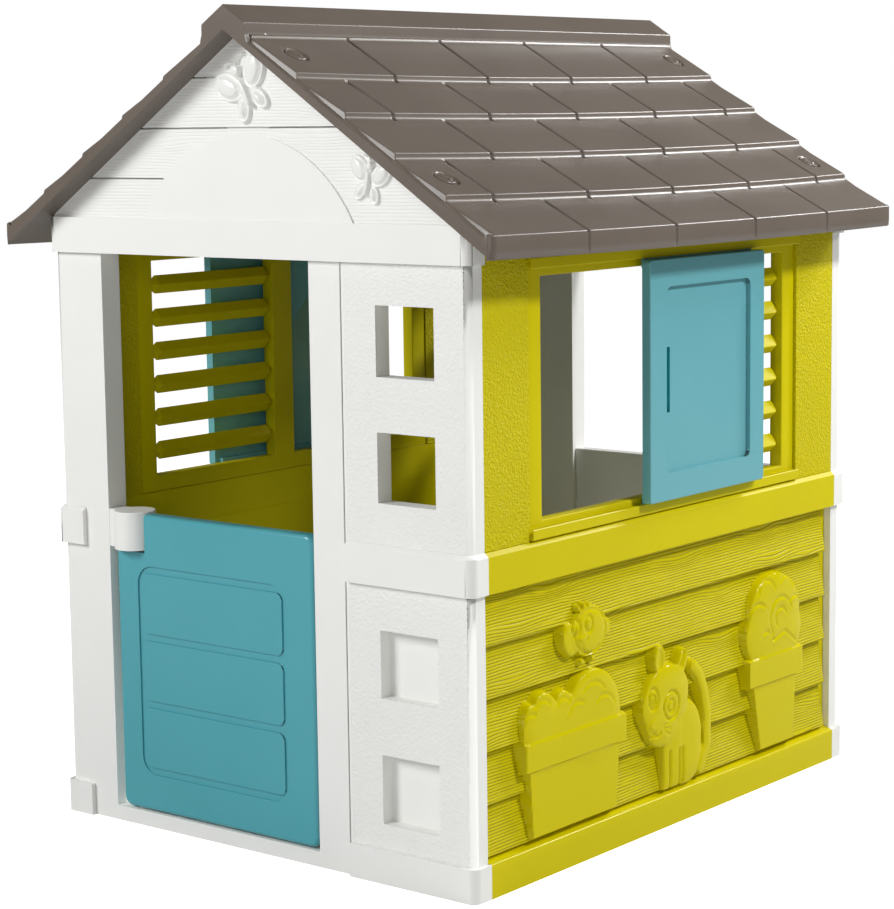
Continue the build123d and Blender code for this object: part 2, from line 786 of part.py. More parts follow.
def infill_pegs():
    """Pegs that hold the rear infill panel between post and jamb."""
    pegs = []
    for x in (-opening_left, -opening_right):
        for z in infill_peg_heights:
            pegs.append(rod(x, half_depth - wall / 2, z, peg_radius, peg_length, "X"))
    return pegs


def drilled(shape, tools):
    """A moulding with the holes for pegs, pins or screws."""
    for tool in tools:
        shape -= tool
    return shape


def group(solids):
    """Separate solids kept together under one name."""
    return Compound(children=list(solids))


# Assembly -------------------------------------------------------------------------------------
lower_pegs = corner_pegs(lower_peg_heights)
upper_pegs = corner_pegs(upper_peg_heights)
stack = stack_pegs()
tops = gable_pegs()
fill = infill_pegs()
pins = hinge_pins()
screws = bracket_screws()
locks = roof_locks()
ridge_pegs = [rod(0, y, ridge_peg_z(), peg_radius, peg_length, "X") for y in ridge_peg_ys()]

frame = opening_frame()
panel_low = lower_panel()
panel_high = upper_panel()
gable_front = gable()
side_low = lower_side_wall()
side_high = upper_side_wall()
window = window_frame()

shapes = {
    "door_frame": drilled(frame, lower_pegs + upper_pegs + tops + [pins[0]] + screws),
    "front_lower_panel": drilled(panel_low, lower_pegs + stack),
    "front_upper_panel": drilled(panel_high, upper_pegs + stack + tops),
    "front_gable": drilled(gable_front, tops + locks),
    "rear_frame": drilled(turned(frame), lower_pegs + upper_pegs + tops + fill),
    "rear_lower_panel": drilled(turned(panel_low), lower_pegs + stack),
    "rear_upper_panel": drilled(turned(panel_high), upper_pegs + stack + tops),
    "rear_infill_panel": drilled(turned(infill()), fill),
    "rear_gable": drilled(turned(gable_front), tops + locks),
    "right_lower_wall": drilled(side_low, lower_pegs + stack),
    "right_upper_wall": drilled(side_high, upper_pegs + stack),
    "right_window_frame": window,
    "right_shutter": shutter(open_front - right_shutter_shut),
    "left_lower_wall": drilled(turned(side_low), lower_pegs + stack),
    "left_upper_wall": drilled(turned(side_high), upper_pegs + stack),
    "left_window_frame": turned(window),
    "left_shutter": turned(shutter(open_front - left_shutter_shut)),
    "roof_right": roof_half(),
    "roof_left": turned(roof_half()),
    "roof_locks": group(locks),
    "ridge_pegs": group(ridge_pegs),
    "door": door(),
    "door_hinge_bracket": hinge_bracket(),
    "door_hinge_pins": group(pins),
    "bracket_screws": group(screws),
    "corner_pegs_lower": group(lower_pegs),
    "corner_pegs_upper": group(upper_pegs),
    "stacking_pegs": group(stack),
    "gable_pegs": group(tops),
    "infill_pegs": group(fill),
}

os.makedirs("parts", exist_ok=True)
for name, shape in shapes.items():
    export_step(shape, f"parts/{name}.step")
    print(name, "solids", len(shape.solids()))
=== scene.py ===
# %% [markdown]
# # A plastic playhouse
# The house is a kit of hollow plastic mouldings. Its sizes and its moving parts are fixed by the
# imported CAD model, so this script only gives that model its looks. It loads the frame, keeps the
# box that it fills, and then makes one piece after another: the shape first, the finish with it.

# %% Load the frame
import math

import bmesh
import bpy
import numpy as np
from mathutils import Matrix, Vector


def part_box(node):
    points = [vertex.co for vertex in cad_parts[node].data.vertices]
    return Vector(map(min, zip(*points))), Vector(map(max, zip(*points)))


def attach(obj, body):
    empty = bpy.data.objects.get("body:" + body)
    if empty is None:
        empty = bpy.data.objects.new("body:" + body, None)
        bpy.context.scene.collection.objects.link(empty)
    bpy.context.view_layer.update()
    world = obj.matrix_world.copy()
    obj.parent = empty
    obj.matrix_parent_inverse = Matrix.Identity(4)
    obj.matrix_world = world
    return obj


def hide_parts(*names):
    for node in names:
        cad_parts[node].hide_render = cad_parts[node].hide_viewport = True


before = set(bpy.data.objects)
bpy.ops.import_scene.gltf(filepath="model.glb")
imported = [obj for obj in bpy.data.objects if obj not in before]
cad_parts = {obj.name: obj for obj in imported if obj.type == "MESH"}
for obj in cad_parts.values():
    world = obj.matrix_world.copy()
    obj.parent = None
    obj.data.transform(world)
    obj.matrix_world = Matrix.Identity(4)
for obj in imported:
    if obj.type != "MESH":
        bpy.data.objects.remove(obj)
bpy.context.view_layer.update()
MM = 0.001


def in_scene(name, data):
    """A new object in the scene, made of a mesh, a lamp or a camera."""
    made = bpy.data.objects.new(name, data)
    bpy.context.scene.collection.objects.link(made)
    return made


# %% [markdown]
# ## Camera
# A long lens from a few metres away keeps upright lines nearly parallel, as a catalogue view of
# furniture does. The camera is built from a target, a distance and two angles, because those are
# easy to read and to change. Its three axes make the columns of its matrix.

# %% Camera
VIEW_TARGET = Vector((0.0, -0.046, 0.558))
VIEW_DISTANCE = 4.032
VIEW_AZIMUTH = math.radians(38.72)
VIEW_ELEVATION = math.radians(7.84)
VIEW_ROLL = math.radians(-0.75)

backwards = Vector(
    (
        math.sin(VIEW_AZIMUTH) * math.cos(VIEW_ELEVATION),
        -math.cos(VIEW_AZIMUTH) * math.cos(VIEW_ELEVATION),
        math.sin(VIEW_ELEVATION),
    )
)
level_right = Vector((0, 0, 1)).cross(backwards).normalized()
level_up = backwards.cross(level_right)
rightwards = math.cos(VIEW_ROLL) * level_right + math.sin(VIEW_ROLL) * level_up
upwards = backwards.cross(rightwards)

camera_data = bpy.data.cameras.new("camera")
camera_data.sensor_width = 36
camera_data.lens = 97.7
camera = in_scene("camera", camera_data)
turn = Matrix((rightwards, upwards, backwards)).transposed().to_4x4()
camera.matrix_world = Matrix.Translation(VIEW_TARGET + VIEW_DISTANCE * backwards) @ turn
bpy.context.scene.camera = camera
print("camera at", tuple(round(c, 3) for c in camera.location))

# %% [markdown]
# ## Light and floor
# Plastic shows its shape by highlights along its edges and by shade under its overhangs. A white
# world fills the shadows, but only partly. The key light is small enough to cast a readable eave
# shadow. One softbox lightens the front, one beside the camera reaches into the rooms, and a lamp
# behind the roof draws its edges.

# %% Light and floor
def softbox(name, place, width, height, power):
    """A large rectangular lamp that faces the middle of the house."""
    lamp = bpy.data.lights.new(name, "AREA")
    lamp.shape = "RECTANGLE"
    lamp.size = width
    lamp.size_y = height
    lamp.energy = power
    lamp_object = in_scene(name, lamp)
    lamp_object.location = place
    away = Vector(place) - Vector((0, 0, 0.6))
    lamp_object.rotation_euler = away.to_track_quat("Z", "Y").to_euler()


softbox("key light", (3.3, 1.2, 3.4), 0.5, 0.5, 124)
softbox("front fill", (-1.8, -4.0, 2.9), 1.8, 1.8, 150)
softbox("camera fill", (2.4, -3.3, 1.3), 1.5, 1.5, 24)
softbox("rim light", (1.4, 3.3, 2.8), 0.8, 0.8, 95)

world = bpy.data.worlds.new("studio")
bpy.context.scene.world = world
world.use_nodes = True
world_nodes = world.node_tree.nodes
world_nodes["Background"].inputs["Color"].default_value = (1, 1, 1, 1)
path = world_nodes.new("ShaderNodeLightPath")
strength = world_nodes.new("ShaderNodeMapRange")
strength.inputs["To Min"].default_value = 0.10
strength.inputs["To Max"].default_value = 1.0
world.node_tree.links.new(path.outputs["Is Camera Ray"], strength.inputs["Value"])
world.node_tree.links.new(strength.outputs[0], world_nodes["Background"].inputs["Strength"])
bpy.context.scene.view_settings.view_transform = "Standard"
print("lights", len(bpy.data.lights))

# %% [markdown]
# ## Sizes read from the frame
# Everything below hangs on a few places, and the CAD nodes give them: how far the walls stand out,
# where one moulding ends and the next begins. The script's own choices, such as how round an edge
# is, come where they are first needed.

# %% Places
base_low, base_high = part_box("right_lower_wall")
window_low, window_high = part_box("right_window_frame")
panel_low, panel_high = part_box("front_upper_panel")
gable_low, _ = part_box("front_gable")
roof_low, roof_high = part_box("roof_right")
BAND_PROUD = 8 * MM
SIDE_BAND_PROUD = 7 * MM
MIDDLE_BAND = 59 * MM
BASE_BAND = 51 * MM
half_width = panel_high.x - SIDE_BAND_PROUD
half_depth = -panel_low.y - BAND_PROUD
seam = base_high.z
band_top = seam + MIDDLE_BAND
print("half width", round(half_width, 4), "half depth", round(half_depth, 4), "seam", round(seam, 4))

# %% [markdown]
# ## Sums on a surface
# A finish is a small machine of nodes. Written as nodes, a sum of two patterns takes many lines,
# so one class wraps a socket and lets Python's own operators add the Math nodes. A second class
# holds the material and adds every other node with a single method.

# %% Shader maths
class Field:
    """A number that varies over a surface."""

    def __init__(self, finish, socket):
        self.finish = finish
        self.socket = socket

    def __add__(self, other):
        return self.finish.math("ADD", self, other)

    def __mul__(self, other):
        return self.finish.math("MULTIPLY", self, other)

    def __sub__(self, other):
        return self.finish.math("SUBTRACT", self, other)

    def __rsub__(self, other):
        return self.finish.math("SUBTRACT", other, self)

    __radd__ = __add__
    __rmul__ = __mul__

    def sine(self):
        return self.finish.math("SINE", self)

    def size(self):
        return self.finish.math("ABSOLUTE", self)

    def power(self, exponent):
        return self.finish.math("POWER", self, exponent)

    def step(self, low, high):
        """0 below the low value, 1 above the high one, smooth between."""
        settings = {"interpolation_type": "SMOOTHSTEP"}
        return self.finish.node("MapRange", settings, {"Value": self, "From Min": low, "From Max": high})

    def between(self, low, high, soft=MM):
        """1 from the low value to the high one, with an edge above each as wide as soft."""
        return self.step(low, low + soft) * (1 - self.step(high, high + soft))


class Finish:
    """A material with one glossy plastic or metal surface."""

    def __init__(self, name, colour, roughness, **constants):
        self.material = bpy.data.materials.new(name)
        self.material.use_nodes = True
        self.tree = self.material.node_tree
        self.surface = self.tree.nodes["Principled BSDF"]
        self.colour = (*colour, 1)
        self.set_surface("Base Color", self.colour)
        self.set_surface("Roughness", roughness)
        for socket, value in constants.items():
            self.set_surface(socket.replace("_", " "), value)
        self.place = self.node("TexCoord", {}, {}, "Object")
        split = self.tree.nodes.new("ShaderNodeSeparateXYZ")
        self.feed(split.inputs[0], self.place)
        self.x, self.y, self.z = [Field(self, socket) for socket in split.outputs]

    def feed(self, socket, value):
        if isinstance(value, Field):
            self.tree.links.new(value.socket, socket)
        else:
            socket.default_value = value

    def set_surface(self, socket, value):
        self.feed(self.surface.inputs[socket], value)

    def node(self, kind, settings, values, output=0):
        """Adds a node: its settings first, then the values or links of its sockets."""
        made = self.tree.nodes.new("ShaderNode" + kind)
        for key, value in settings.items():
            setattr(made, key, value)
        for key, value in values.items():
            self.feed(made.inputs[key], value)
        return Field(self, made.outputs[output])

    def math(self, operation, *terms):
        return self.node("Math", {"operation": operation}, dict(enumerate(terms)))

    def noise(self, scale, detail=2.0):
        """Cloudy noise from 0 to 1 with its size given as lumps per metre."""
        return self.node("TexNoise", {}, {"Vector": self.place, "Scale": scale, "Detail": detail})

    def stretched(self, kind, along, across, values, output=0):
        """A pattern on a board, with the board's two coordinates scaled beforehand."""
        where = self.node("CombineXYZ", {}, {0: along, 1: across})
        return self.node(kind, {}, {"Vector": where, "Scale": 1.0, **values}, output)

    def blend_colour(self, amount, first, second):
        """A colour between two, each of them fixed or a field of its own."""
        ends = [end if isinstance(end, Field) else (*end, 1) for end in (first, second)]
        return self.node("Mix", {"data_type": "RGBA"}, {0: amount, 6: ends[0], 7: ends[1]}, 2)

    def emboss(self, height):
        """Raises the surface by a height in metres."""
        self.set_surface("Normal", self.node("Bump", {}, {"Height": height, "Distance": 1.0}))

    def vary(self, scale, first, second, rough_low, rough_high):
        """Slow drift of colour and gloss, as any large moulding has."""
        drift = self.noise(scale, 3.0)
        self.set_surface("Base Color", self.blend_colour(drift, first, second))
        self.set_surface("Roughness", drift * (rough_high - rough_low) + rough_low)


print("shader maths ready")

# %% [markdown]
# ## Finishes
# The mouldings come out of textured moulds: white walls with a plaster stipple, green posts with a
# coarse leather grain, green planks with wood grain and knots, and a satin roof. Each pattern is
# a height in metres, read from the object's own coordinates, so its scale is right at once. The
# patterns that belong on part of a moulding are multiplied by a mask from the same coordinates.

# %% White finishes
WHITE = ((0.83, 0.83, 0.80), (0.88, 0.88, 0.855))
GROOVE_SHADE = (0.25, 0.25, 0.22)


def white_smooth():
    """The bands, posts and jambs: nearly smooth, a little cloudy."""
    finish = Finish("white_smooth", WHITE[0], 0.45)
    finish.vary(6.0, *WHITE, 0.40, 0.52)
    finish.emboss(finish.noise(450.0, 2.0) * (0.12 * MM))
    return finish.material


def white_gloss():
    """The butterflies: polished, so that their small shapes catch the light."""
    finish = Finish("white_gloss", WHITE[0], 0.25)
    finish.vary(9.0, *WHITE, 0.20, 0.30)
    return finish.material


def white_plaster(inner, outer, low, high):
    """Stipple on the flat of a panel, smooth on its bands and inside its windows."""
    finish = Finish("white_plaster", WHITE[0], 0.55)
    finish.vary(6.0, *WHITE, 0.50, 0.62)
    flat = finish.x.size().between(inner, outer) * finish.z.between(low, high)
    flat = flat * finish.y.size().step(half_depth - 2 * MM, half_depth - MM)
    lumps = finish.noise(230.0, 3.0).step(0.35, 0.7)
    stipple = lumps * (0.6 * MM) + finish.noise(560.0, 2.0) * (0.2 * MM)
    finish.emboss(stipple * flat)
    return finish.material


def wood_lines(finish, along, across, spacing, waviness, knots):
    """Grain lines that wave along a board and run round its knots, from 0 to 1."""
    drift = finish.stretched("TexNoise", along * 4.0, across * 15.0, {"Detail": 1.0})
    near = finish.stretched("TexVoronoi", along * 5.0, across * 22.0, {}, "Distance")
    knot = 1 - near.step(0.0, 0.42)
    phase = across * (2 * math.pi / spacing) + drift * waviness + knot * knots
    lines = phase.sine() * 0.5 + 0.5
    broken = finish.stretched("TexNoise", along * 14.0, across * 330.0, {"Detail": 2.0})
    return lines.power(3.4) * broken.step(0.2, 0.5)


def white_planks(band_top):
    """The gable: faint grain above its smooth band, and shade in the narrow plank grooves."""
    finish = Finish("white_planks", WHITE[0], 0.5)
    drift = finish.noise(6.0, 3.0)
    out = finish.y.size()
    groove = out.between(half_depth - 4.5 * MM, half_depth - 1.4 * MM, 0.6 * MM)
    tone = finish.blend_colour(drift, *WHITE)
    finish.set_surface("Base Color", finish.blend_colour(groove * 0.65, tone, GROOVE_SHADE))
    finish.set_surface("Roughness", drift * 0.13 + 0.45)
    grain = wood_lines(finish, finish.x, finish.z, 5.0 * MM, 12.0, 9.0)
    face = out.between(half_depth - 2 * MM, half_depth + 0.8 * MM) * finish.z.step(band_top, band_top + MM)
    finish.emboss((1 - grain) * face * (0.35 * MM))
    return finish.material


print("white finishes")

# %% Green finishes
GREEN = ((0.585, 0.505, 0.0), (0.645, 0.56, 0.0))
# Painted shade: a darker green laid into the wood-grain grooves of the planks.
GREEN_GROOVE_SHADE = (0.36, 0.33, 0.0)
GREEN_GLOSS = 0.13


def green_smooth():
    """Frames, rails and slats: smooth, with a hint of the mould."""
    finish = Finish("green_smooth", GREEN[0], 0.38, Specular_IOR_Level=GREEN_GLOSS)
    finish.vary(5.0, *GREEN, 0.34, 0.46)
    finish.emboss(finish.noise(500.0, 2.0) * (0.08 * MM))
    return finish.material


def green_leather(above):
    """Posts with a coarse leather grain above the smooth middle band."""
    finish = Finish("green_leather", GREEN[0], 0.42, Specular_IOR_Level=GREEN_GLOSS)
    finish.vary(5.0, *GREEN, 0.38, 0.50)
    lumps = finish.noise(260.0, 3.0).step(0.3, 0.72)
    grain = lumps * (1.3 * MM) + finish.noise(600.0, 2.0) * (0.4 * MM)
    finish.emboss(grain * finish.z.step(above, above + MM))
    return finish.material


def green_planks(plank_face, plank_lap, first, pitch, base_top):
    """Wood grain only where the surface lies on a lapped plank, smooth on bands and figures."""
    finish = Finish("green_planks", GREEN[0], 0.40, Specular_IOR_Level=GREEN_GLOSS)
    grain = wood_lines(finish, finish.y, finish.z, 4.4 * MM, 10.0, 11.0)
    climb = finish.math("FRACT", (finish.z - first) * (1 / pitch))
    off_plank = (finish.x.size() - (plank_face - climb * plank_lap)).size()
    plank = 1 - off_plank.step(0.7 * MM, 1.6 * MM)
    plank = plank * finish.z.step(base_top + 6 * MM, base_top + 9 * MM)
    groove = grain * plank
    drift = finish.noise(5.0, 3.0)
    tone = finish.blend_colour(drift, *GREEN)
    # The grain grooves get painted shade, a darker green where they would hold shadow.
    finish.set_surface("Base Color", finish.blend_colour(groove * 0.6, tone, GREEN_GROOVE_SHADE))
    finish.set_surface("Roughness", plank * 0.18 + drift * 0.08 + 0.20)
    finish.emboss(groove * (-1.1 * MM))
    return finish.material


print("green finishes")

# %% Finishes of the door, the shutters, the roof and the small parts
def moulded(name, first, second, rough_low, rough_high, grain_scale, grain_height):
    """Plain coloured plastic with a fine mould texture."""
    finish = Finish(name, first, rough_low)
    finish.vary(6.0, first, second, rough_low, rough_high)
    finish.emboss(finish.noise(grain_scale, 3.0) * (grain_height * MM))
    return finish.material


def bright_steel():
    """Zinc-plated screws."""
    finish = Finish("zinc_steel", (0.62, 0.62, 0.60), 0.3, Metallic=1.0)
    finish.set_surface("Roughness", finish.noise(900.0, 2.0) * 0.2 + 0.25)
    return finish.material


FINGER_SLOT_START = 44 * MM
FINGER_SLOT_WIDTH = 19 * MM
FINGER_SLOT_HEIGHT = 100 * MM
SHUTTER_RECESS = 7 * MM
FINGER_SLOT_DEPTH = 5.5 * MM
SHUTTER_BLUE = ((0.130, 0.400, 0.445), (0.150, 0.425, 0.475))
SLOT_TONE = (0.0, 0.29, 0.32)


def shutter_plastic(node):
    """Pale blue, darker inside the shutter's finger slot, where little light gets in."""
    low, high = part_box(node)
    side = math.copysign(1, low.x)
    front_edge = min(side * low.y, side * high.y)
    face = max(side * low.x, side * high.x)
    finish = Finish(node + "_plastic", SHUTTER_BLUE[0], 0.34)
    drift = finish.noise(6.0, 3.0)
    slot_start = front_edge + FINGER_SLOT_START
    slot_foot = (low.z + high.z - FINGER_SLOT_HEIGHT) / 2
    slot_floor = face - SHUTTER_RECESS - FINGER_SLOT_DEPTH
    slot = (finish.y * side).between(slot_start - 0.5 * MM, slot_start + FINGER_SLOT_WIDTH, 0.5 * MM)
    slot = slot * finish.z.between(slot_foot - 0.5 * MM, slot_foot + FINGER_SLOT_HEIGHT, 0.5 * MM)
    slot = slot * (finish.x * side).between(slot_floor - 2 * MM, face - SHUTTER_RECESS - MM, 0.6 * MM)
    tone = finish.blend_colour(drift, *SHUTTER_BLUE)
    finish.set_surface("Base Color", finish.blend_colour(slot * 0.9, tone, SLOT_TONE))
    finish.set_surface("Roughness", drift * 0.1 + 0.24)
    finish.emboss(finish.noise(620.0, 3.0) * (0.06 * MM))
    return finish.material


DOOR_BLUE = ((0.070, 0.345, 0.400), (0.082, 0.375, 0.435))
ROOF_BROWN = ((0.124, 0.099, 0.080), (0.168, 0.138, 0.113))
PEG_GREY = ((0.30, 0.30, 0.30), (0.36, 0.36, 0.36))

turquoise = moulded("turquoise_plastic", *DOOR_BLUE, 0.20, 0.28, 620.0, 0.03)
roof_brown = moulded("roof_plastic", *ROOF_BROWN, 0.30, 0.38, 700.0, 0.05)
peg_grey = moulded("peg_plastic", *PEG_GREY, 0.5, 0.6, 800.0, 0.05)
steel = bright_steel()
white = white_smooth()
glossy_white = white_gloss()
green = green_smooth()
print("materials", len(bpy.data.materials))

# %% [markdown]
# ## Making pieces
# A finished mesh becomes a piece when it rides on a body and hides the CAD nodes that it stands
# for. Three helpers make most meshes: one skins a closed solid over a row of sections, one turns
# a mesh to the other side of the house, and one softens the edges of a CAD moulding.

# %% Pieces from meshes
def piece(name, mesh, body, slot, *stands_for):
    """A finished mesh as a named piece on a body."""
    made = in_scene(name, mesh)
    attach(made, body)
    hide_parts(*stands_for)
    print(name, "faces", len(mesh.polygons))


def mesh_of(shell, name, *materials):
    """The mesh of a bmesh, which is freed."""
    mesh = bpy.data.meshes.new(name)
    shell.to_mesh(mesh)
    shell.free()
    for material in materials:
        mesh.materials.append(material)
    return mesh


def applied(carrier, name):
    """The mesh that an object's modifiers make, after which the object goes."""
    graph = bpy.context.evaluated_depsgraph_get()
    mesh = bpy.data.meshes.new_from_object(carrier.evaluated_get(graph))
    mesh.name = name
    bpy.data.objects.remove(carrier)
    return mesh


def dressed(mesh, material, crease=35):
    """Turns the faces outwards, shades them smooth up to a crease and gives them a finish."""
    shell = bmesh.new()
    shell.from_mesh(mesh)
    bmesh.ops.recalc_face_normals(shell, faces=shell.faces)
    shell.to_mesh(mesh)
    shell.free()
    mesh.materials.clear()
    mesh.materials.append(material)
    mesh.shade_smooth()
    mesh.set_sharp_from_angle(angle=math.radians(crease))
    return mesh


def skin_over(name, sections, material, crease=35):
    """A closed solid over sections that all have the same number of points."""
    count, size = sections.shape[:2]
    corner = np.arange(count * size).reshape(count, size)
    following = np.roll(corner, -1, axis=1)
    quads = np.stack([corner[:-1], following[:-1], following[1:], corner[1:]], axis=-1)
    faces = quads.reshape(-1, 4).tolist() + [corner[0].tolist(), corner[-1][::-1].tolist()]
    mesh = bpy.data.meshes.new(name)
    mesh.from_pydata(sections.reshape(-1, 3).tolist(), [], faces)
    return dressed(mesh, material, crease)


def turned(mesh, name):
    """The same mesh half round the house."""
    copy = mesh.copy()
    copy.name = name
    copy.transform(Matrix.Rotation(math.pi, 4, "Z"))
    return copy


def smooth_step(value):
    share = np.clip(value, 0.0, 1.0)
    return share * share * (3 - 2 * share)


print("piece helpers")

# %% [markdown]
# ## Softening a CAD moulding
# The CAD nodes are exact but their edges are knife sharp, and a moulded edge always catches a line
# of light. A copy of the node is merged, its flat areas are joined into single faces, the inner
# skins that nobody sees are taken out, and the long sharp edges get a rounded bevel. Weighted
# normals keep the large faces flat in the light.

# %% Softened copies
def without_inner_skins(shell):
    """Removes the closed surfaces that face inwards, which are hollows inside the plastic."""
    waiting = set(shell.faces)
    while waiting:
        island = [waiting.pop()]
        for face in island:
            for edge in face.edges:
                for other in edge.link_faces:
                    if other in waiting:
                        waiting.remove(other)
                        island.append(other)
        volume = sum(face.calc_center_median().dot(face.normal) * face.calc_area() for face in island)
        if volume < 0:
            bmesh.ops.delete(shell, geom=island, context="FACES")


def softened(node, name, width, material, press=None):
    """A copy of a CAD node with its long sharp edges rounded to a width."""
    shell = bmesh.new()
    shell.from_mesh(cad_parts[node].data)
    bmesh.ops.remove_doubles(shell, verts=shell.verts, dist=0.01 * MM)
    without_inner_skins(shell)
    if press:
        press(shell)
        bmesh.ops.remove_doubles(shell, verts=shell.verts, dist=0.01 * MM)
        bmesh.ops.dissolve_degenerate(shell, edges=shell.edges, dist=0.01 * MM)
    bmesh.ops.dissolve_limit(shell, angle_limit=math.radians(0.5), verts=shell.verts, edges=shell.edges)
    sharp = [e for e in shell.edges if e.is_manifold and e.calc_length() > 2.2 * width]
    sharp = [e for e in sharp if e.calc_face_angle() > math.radians(38)]
    bmesh.ops.bevel(
        shell, geom=sharp, offset=width, segments=3, profile=0.5, affect="EDGES", clamp_overlap=True
    )
    mesh = mesh_of(shell, name, material)
    mesh.shade_smooth()
    mesh.set_sharp_from_angle(angle=math.radians(50))
    carrier = in_scene(name + "_carrier", mesh)
    carrier.modifiers.new("flat faces", "WEIGHTED_NORMAL").keep_sharp = True
    return applied(carrier, name)


def soft_piece(node, body, edge, material, slot):
    """A softened copy of a CAD node as a piece; the edge is in millimetres."""
    name = node + "_moulding"
    piece(name, softened(node, name, edge * MM, material), body, slot, node)


print("softening ready")

# %% [markdown]
# ## Roof
# Each half is one moulding: a ridge cap, five courses of shingles with narrow joints, a plain rim
# at both ends and a deep eave. A cross-section says all of that except the joints, the rim and
# the slight sag of the courses along the house, so the half is skinned over many cross-sections
# and each one is changed by where it stands. The stations are close together only where
# something happens: at joints, ends and locks.

# %% Roof profile
RIDGE_CAP = (42.0, 27.0, 22.0)
COURSES = 5
COURSE_STEP = 9.0
COURSE_DROP = 15.0
EAVE_DEPTH = 33.0
EDGE_RADIUS = 3.2
RIM = 9.0
RIM_ROUNDING = 2.5
JOINT_WIDTH = 3.0
JOINT_DEPTH = 4.5
COURSE_SAG = 9.0
EAVE_SAG = 5.0
EAVE_CORNER = 12.0
EAVE_LIP = 8.0
END_ROUNDING = (1.2, 2.0)
LOCK_X = (86.0, 359.0)
LOCK_Y = 490.0
LOCK_RADIUS = 17.5
LOCK_SEAT = (3.0, 1.6)
SHINGLE_WIDTH = 220.0

roof_end = roof_high.y / MM
ridge_top = roof_high.z / MM
eave_x = roof_high.x / MM
eave_bottom = roof_low.z / MM
under_ridge = ridge_top - 36.0
first_x = RIDGE_CAP[0] + 2
course_pitch = (eave_x - first_x) / COURSES
course_fall = (ridge_top - COURSE_DROP - eave_bottom - EAVE_DEPTH) / eave_x


def course_tip(number):
    """Lower edge of a course, counted from the ridge."""
    x = first_x + number * course_pitch
    return x, ridge_top - COURSE_DROP - course_fall * x


def course_start(number):
    """Upper end of a course, under the step of the one above."""
    if number == 0:
        return first_x + 4, ridge_top - RIDGE_CAP[1] - RIDGE_CAP[2] - 1
    x, z = course_tip(number)
    return x + 4.6, z - COURSE_STEP - 2.8


def course_slope(number):
    """How far a course falls for each millimetre outwards."""
    start = course_start(number)
    tip = course_tip(number + 1)
    return (start[1] - tip[1]) / (tip[0] - start[0])


def run_between(start, end):
    """Points from start to end, closer together where a lock sits."""
    places = list(np.linspace(start[0], end[0], 9))
    for lock in LOCK_X:
        if start[0] < lock < end[0]:
            places += list(np.arange(max(lock - 22, start[0]), min(lock + 22, end[0]), 2.0))
    places = sorted(set(round(p, 3) for p in places))
    slope = (end[1] - start[1]) / (end[0] - start[0])
    return [(x, start[1] + slope * (x - start[0])) for x in places]


def rounded_edge(tip, slope, radius, drop):
    """Points round the lower edge of a course, down its step and into the fillet at its foot."""
    x, z = tip
    lean = math.atan(slope)
    centre = (x - radius, z + math.tan(lean) * radius - radius / math.cos(lean))
    turns = np.linspace(math.pi / 2 - lean, 0, 5)
    arc = [(centre[0] + radius * math.cos(a), centre[1] + radius * math.sin(a)) for a in turns]
    return arc + [(x + 0.2, z - drop * 0.6), (x + 0.9, z - drop * 0.88), (x + 2.3, z - drop * 1.06)]


def roof_profile():
    """Points of the section from ridge to eave, each with the number of its course."""
    cap_x, cap_drop, cap_step = RIDGE_CAP
    corner = (cap_x, ridge_top - cap_drop)
    points = [(x, z, -1) for x, z in run_between((0, ridge_top), (cap_x - 4, ridge_top - cap_drop * 0.9))]
    points += [(x, z, -1) for x, z in rounded_edge(corner, cap_drop / cap_x, EDGE_RADIUS, cap_step)]
    ledge = ridge_top - cap_drop - cap_step
    points += [(cap_x + 1, ledge + 5, -1), (cap_x + 4, ledge + 4.2, -1), (cap_x + 5.5, ledge + 2.6, -1)]
    for number in range(COURSES):
        tip = course_tip(number + 1)
        slope = course_slope(number)
        short = (tip[0] - 4, tip[1] + 4 * slope)
        last = number == COURSES - 1
        points += [(x, z, number) for x, z in run_between(course_start(number), short)]
        edge = rounded_edge(tip, slope, EDGE_RADIUS, EAVE_DEPTH if last else COURSE_STEP)
        points += [(x, z, number) for x, z in (edge[:6] if last else edge)]
    points += [(eave_x - 0.5, eave_bottom + 2, COURSES), (eave_x - 2.5, eave_bottom, COURSES)]
    return np.array(points)


profile = roof_profile()
print("roof profile points", len(profile))

# %% Roof half
def joint_places(number):
    """Where the joints of a course stand along the house: each course is half a shingle on."""
    shift = (1.5, 2.0)[number % 2]
    count = (4, 5)[number % 2]
    return [(place - shift) * SHINGLE_WIDTH for place in range(count)]


def roof_stations():
    """Places along the house of the cross-sections."""
    stations = list(np.linspace(-roof_end + RIM + 9, roof_end - RIM - 9, 80))
    beside = (1.3, 2.5, 3.2, 3.8, 4.6, 7)
    for joint in joint_places(0) + joint_places(1):
        stations += [joint] + [joint + side * step for step in beside for side in (-1, 1)]
    for side in (-1, 1):
        stations += [side * LOCK_Y + step for step in np.arange(-23, 23, 2.0)]
        ends = [0, 0.6, 2, 4, 7] + [RIM + step for step in (-0.6, 0.1, 0.5, 1.1, 1.9, 2.8, 3.6, 6)]
        stations += [side * (roof_end - step) for step in ends]
    return np.array(sorted(set(np.round(stations, 2))))


